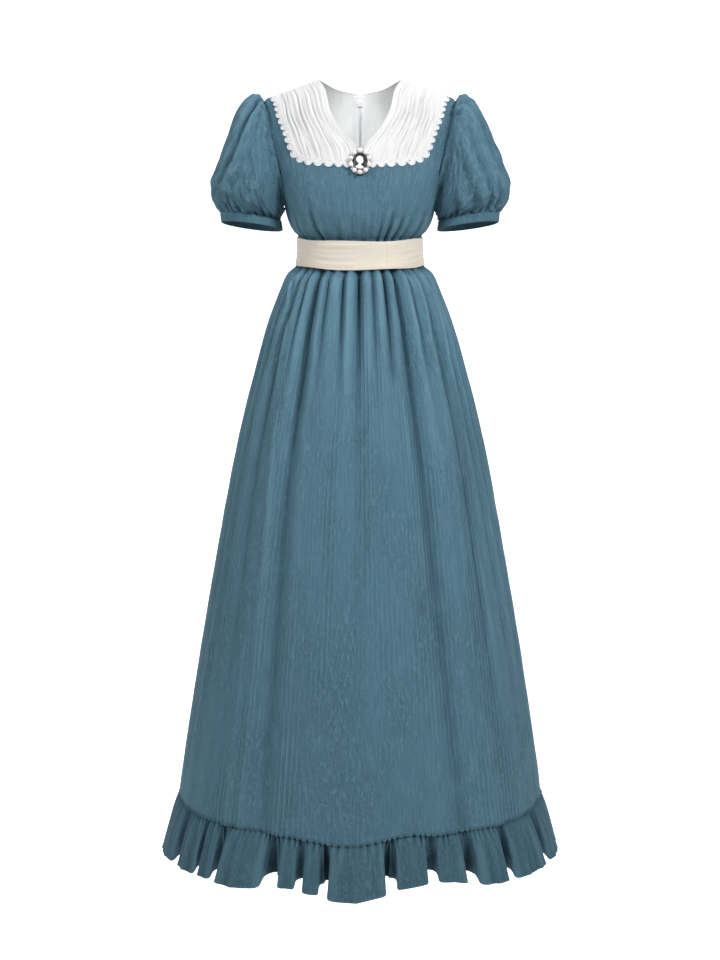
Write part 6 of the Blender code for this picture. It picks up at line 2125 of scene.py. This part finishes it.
def bust_relief(points):
    """Height of the bust above its ground at points given in shares of the cameo's half height."""
    bust, hair, drape = (
        inner_distance(points, smooth_outline(outline, OUTLINE_STEPS))
        for outline in (BUST_OUTLINE, HAIR_OUTLINE, DRESS_OUTLINE)
    )
    x, y = points[:, 0], points[:, 1]
    height = BUST_EDGE * np.sqrt(ease(bust / 0.17)) + BUST_MIDDLE * ease(bust / 0.3)
    curls = np.sin(30.0 * np.hypot(x - 0.10, y - 0.16) + 2.0 * np.sin(7.0 * np.arctan2(y - 0.16, x - 0.10)))
    height = height + ease(hair / 0.08) * (HAIR_HEIGHT + CURL_HEIGHT * curls)
    bun = np.hypot((x + 0.34) / 0.13, (y - 0.26) / 0.15)
    height = height + BUN_HEIGHT * ease(1.0 - bun) * (1.0 + 0.2 * np.sin(50.0 * bun))
    folds = np.sin(26.0 * (y + 0.35 * x) + 3.0 * x)
    height = height + ease(drape / 0.06) * (DRESS_HEIGHT + DRESS_FOLD_HEIGHT * folds)
    for form in FACE_FORMS:
        height = height + form.height * bump(x, form.x, form.wide) * bump(y, form.y, form.high)
    return bust, height


def bust_shape(low):
    """Vertices and faces of the bust, raised from its ground and closed below."""
    xs = np.arange(*BUST_ACROSS, BUST_STEP / CAMEO_HALF_HEIGHT)
    ys = np.arange(*BUST_UP, BUST_STEP / CAMEO_HALF_HEIGHT)
    across, up = np.meshgrid(xs, ys)
    flat = np.stack([across.ravel(), up.ravel()], axis=-1)
    inside, height = bust_relief(flat)
    tops = (low + BUST_GROUND + height)[:, None]
    points = np.concatenate([flat * CAMEO_HALF_HEIGHT * BUST_SIZE, tops], axis=1)
    points[inside < 0.0] = np.nan
    points = points.reshape(len(ys), len(xs), 3)
    outer, quads, corner_marks = grid(points, points[..., :2])
    under = outer.copy()
    under[:, 2] = low
    faces, _ = wall_faces(quads, corner_marks, len(outer))
    return np.concatenate([outer, under]), faces


# Brooch: the cameo's rim, the beading on it, the ring that carries the pearls and the small stones, the cup
# under each pearl, and the stones in their settings
CAMEO_RIM_HEIGHT = 0.0012
BEADS = 52
BEAD_INSET = 0.0004
BEAD_RADII = (0.00055, 0.00055, 0.00045)
RING_HALF_WIDTH = 0.0148
RING_HALF_HEIGHT = 0.0178
RING_DEPTH = 0.0010
RING_WIRE = 0.0024
CUP_LIFT = 0.0004
CUP_RADII = (0.0030, 0.0030, 0.0009)
STONE_RING_HALF_WIDTH = 0.0180
STONE_RING_HALF_HEIGHT = 0.0208
STONE_SETTING_DEPTH = 0.0020
STONE_SETTING_RADII = (0.0019, 0.0019, 0.0018)
STONE_DEPTH = 0.0036
STONE_RADII = (0.0015, 0.0015, 0.0010)

# Columns of the tray and the ring, sides of the ring's wire, and columns and rings of the round parts
TRAY_COLUMNS, RING_COLUMNS, RING_SIDES = 96, 72, 12
BEAD_STEPS, PEARL_STEPS, CUP_STEPS, SETTING_STEPS, STONE_STEPS = (10, 6), (40, 24), (20, 8), (20, 10), (8, 4)


def tray_profile(rim_top):
    """The brooch's tray and rim as half widths, half heights and depths, from the back to the cameo's ground."""
    tray, cameo = (BROOCH_HALF_WIDTH, BROOCH_HALF_HEIGHT), (CAMEO_HALF_WIDTH, CAMEO_HALF_HEIGHT)
    steps = [
        (tray, -0.0006, 0.0),
        (tray, 0.0, 0.0005),
        (tray, 0.0, BROOCH_TRAY_DEPTH - 0.0005),
        (tray, -0.0005, BROOCH_TRAY_DEPTH),
        (cameo, 0.0003, BROOCH_TRAY_DEPTH),
        (cameo, 0.0, BROOCH_TRAY_DEPTH + 0.0003),
        (cameo, -0.0001, rim_top - 0.0003),
        (cameo, -0.0005, rim_top),
        (cameo, -0.0010, rim_top - 0.0002),
        (cameo, -0.0012, BROOCH_TRAY_DEPTH + 0.0002),
        (cameo, -0.0016, BROOCH_TRAY_DEPTH),
    ]
    profile = [(wide + wider, high + wider, depth) for (wide, high), wider, depth in steps]
    return [(0.0, 0.0, 0.0), *profile, (0.0, 0.0, BROOCH_TRAY_DEPTH + 0.0001)]


def add_brooch(finishes):
    """Oval brooch: a dark tray, a white bust on a black ground, pearls and small stones round it."""
    axes = frame_at(0.0, BROOCH_LEVEL, BROOCH_STANDOFF)
    rim_top = BROOCH_TRAY_DEPTH + CAMEO_RIM_HEIGHT
    made = []

    def show(name, points, faces, finish_name, replaced=(), sharp=50.0):
        mesh = make_mesh(name, placed(axes, points), faces, sharp=sharp)
        made.append(add_piece(name, mesh, finishes[finish_name], replaced))

    show("brooch_tray_oval", *turned_oval(tray_profile(rim_top), TRAY_COLUMNS), "dark_metal", ["brooch_tray"])
    wide, high = CAMEO_HALF_WIDTH - BEAD_INSET, CAMEO_HALF_HEIGHT - BEAD_INSET
    beads = [
        ball((wide * math.cos(angle), high * math.sin(angle), rim_top), BEAD_RADII, *BEAD_STEPS)
        for angle in round_angles(BEADS)
    ]
    show("brooch_beading", *joined(beads), "aged_silver")
    show("cameo_relief", *bust_shape(BROOCH_TRAY_DEPTH + SEAM_GAP), "cameo_resin", ["cameo_bust"], sharp=70.0)
    turn = round_angles(RING_COLUMNS)
    ring = [RING_HALF_WIDTH * np.cos(turn), RING_HALF_HEIGHT * np.sin(turn), RING_DEPTH + 0.0 * turn]
    settings, stones = [tube(np.stack(ring, axis=-1), RING_WIRE, True, RING_SIDES)], []
    for k, angle in enumerate(round_angles(PEARLS) - math.pi / 2):
        x, y = PEARL_RING_HALF_WIDTH * math.cos(angle), PEARL_RING_HALF_HEIGHT * math.sin(angle)
        z = BROOCH_TRAY_DEPTH + PEARL_LIFT + PEARL_RADIUS
        name = f"pearl_{k + 1:02d}"
        show(name + "_bead", *ball((x, y, z), (PEARL_RADIUS,) * 3, *PEARL_STEPS), "pearl", [name])
        settings.append(ball((x, y, BROOCH_TRAY_DEPTH + CUP_LIFT), CUP_RADII, *CUP_STEPS))
        between_pearls = angle + math.pi / PEARLS
        x = STONE_RING_HALF_WIDTH * math.cos(between_pearls)
        y = STONE_RING_HALF_HEIGHT * math.sin(between_pearls)
        settings.append(ball((x, y, STONE_SETTING_DEPTH), STONE_SETTING_RADII, *SETTING_STEPS))
        stones.append(ball((x, y, STONE_DEPTH), STONE_RADII, *STONE_STEPS))
    show("brooch_settings", *joined(settings), "aged_silver")
    show("brooch_stones", *joined(stones), "grey_crystal", sharp=5.0)
    return made


# Studio
CAMERA_PLACE = (0.0, -3.9, -0.1076)
CAMERA_TILT = 8.78
CAMERA_LENS = 82.2
CAMERA_SENSOR = 36.0
FLOOR_LEVEL = -1.72
SWEEP_HALF_WIDTH = 8.0
SWEEP_FRONT = -6.0
SWEEP_BEND_START = 6.6
SWEEP_RADIUS = 1.4
SWEEP_BACK = 8.0
SWEEP_TOP = 7.0
SWEEP_DARK = (0.93, 0.93, 0.93)
SWEEP_PALE = (0.95, 0.95, 0.95)
WORLD_STRENGTH = 0.18
LIGHT_SPREAD = 95.0

# Soft square lights, each at a place and facing a point, with its size in metres and its power in watts
Light = namedtuple("Light", "name place target size power")
LIGHTS = [
    Light("key", (1.7, -2.0, 1.35), (0.0, 0.0, -0.25), 0.7, 17.2),
    Light("fill", (-1.7, -2.0, 1.35), (0.0, 0.0, -0.25), 0.7, 9.3),
    Light("front", (0.2, -2.6, 1.5), (0.0, 0.0, -0.2), 0.8, 4.0),
    Light("rear", (0.2, 1.6, 2.0), (0.0, 0.0, -0.2), 1.0, 10.0),
]

# A narrow spot that lights the inside of the neck. Its size is the radius of its soft edge.
NECK_SPOT = Light("neck", (0.0, -1.2, 0.56), (0.0, 0.07, -0.075), 0.03, 75.0)
NECK_SPOT_ANGLE = 5.6
NECK_SPOT_BLEND = 0.9


def backdrop():
    """Pale floor that sweeps up behind the dress."""
    material, shader = new_material("studio_white")
    here = object_place(material)
    tone = noise(material, scaled(material, here, 0.6, 0.6, 0.6), detail=2.0)
    link(material, ramp(material, tone, [(0.3, SWEEP_DARK), (0.7, SWEEP_PALE)]), shader.inputs["Base Color"])
    shader.inputs["Roughness"].default_value = 0.9
    shader.inputs["Emission Color"].default_value = (1.0, 1.0, 1.0, 1.0)
    glow = spanned(material, second_part(material, here), -0.4, 0.3, 0.05, 0.9)
    link(material, glow, shader.inputs["Emission Strength"])
    bend = np.radians(np.linspace(0.0, 90.0, 25))
    radius = SWEEP_RADIUS
    line = [(SWEEP_FRONT, 0.0)]
    line += [(SWEEP_BEND_START + radius * math.sin(a), radius - radius * math.cos(a)) for a in bend]
    line.append((SWEEP_BACK, SWEEP_TOP))
    points = [(x, y, z + FLOOR_LEVEL) for y, z in line for x in (-SWEEP_HALF_WIDTH, SWEEP_HALF_WIDTH)]
    faces = [(2 * k, 2 * k + 1, 2 * k + 3, 2 * k + 2) for k in range(len(line) - 1)]
    mesh = plain_mesh("studio_sweep", points, faces)
    mesh.shade_smooth()
    mesh.materials.append(material)
    obj = bpy.data.objects.new("studio_sweep", mesh)
    bpy.context.scene.collection.objects.link(obj)


def place_light(light, lamp):
    """Puts a lamp at its light's place, facing its target."""
    lamp.energy = light.power
    obj = bpy.data.objects.new(light.name, lamp)
    obj.location = light.place
    aim = Vector(light.target) - Vector(light.place)
    obj.rotation_euler = aim.to_track_quat("-Z", "Y").to_euler()
    bpy.context.scene.collection.objects.link(obj)


def set_studio():
    """Backdrop, soft lights, pale surroundings and the camera at the photograph's place."""
    backdrop()
    for light in LIGHTS:
        lamp = bpy.data.lights.new(light.name, "AREA")
        lamp.shape = "RECTANGLE"
        lamp.size = lamp.size_y = light.size
        lamp.spread = math.radians(LIGHT_SPREAD)
        place_light(light, lamp)
    lamp = bpy.data.lights.new(NECK_SPOT.name, "SPOT")
    lamp.spot_size = math.radians(NECK_SPOT_ANGLE)
    lamp.spot_blend = NECK_SPOT_BLEND
    lamp.shadow_soft_size = NECK_SPOT.size
    place_light(NECK_SPOT, lamp)
    world = bpy.data.worlds.new("studio")
    world.use_nodes = True
    background = world.node_tree.nodes["Background"]
    background.inputs["Color"].default_value = (1.0, 1.0, 1.0, 1.0)
    background.inputs["Strength"].default_value = WORLD_STRENGTH
    bpy.context.scene.world = world
    bpy.context.scene.view_settings.view_transform = "Standard"
    lens = bpy.data.cameras.new("photo")
    lens.lens = CAMERA_LENS
    lens.sensor_width = CAMERA_SENSOR
    lens.sensor_fit = "AUTO"
    camera = bpy.data.objects.new("photo", lens)
    camera.location = CAMERA_PLACE
    camera.rotation_euler = (math.radians(90.0 - CAMERA_TILT), 0.0, 0.0)
    bpy.context.scene.collection.objects.link(camera)
    bpy.context.scene.camera = camera


def build_dress():
    """Every piece of the dress."""
    finishes = make_finishes()
    made = add_bodice(finishes) + add_yokes(finishes) + add_lace(finishes)
    made += add_skirt(finishes) + add_ruffle(finishes)
    made += add_sleeves(finishes) + add_cuffs(finishes)
    made += add_sash(finishes) + add_zip(finishes) + add_brooch(finishes)
    return {obj.name: obj for obj in made}


# The cut of a sheet of cloth: the width and length of its cut, its area where that is less than the two give, how
# it is held, what carries it and the piece sewn to it. No sheet is given one here.
Cut = namedtuple("Cut", "piece width length area held carrier extra")


pieces = build_dress()
set_studio()
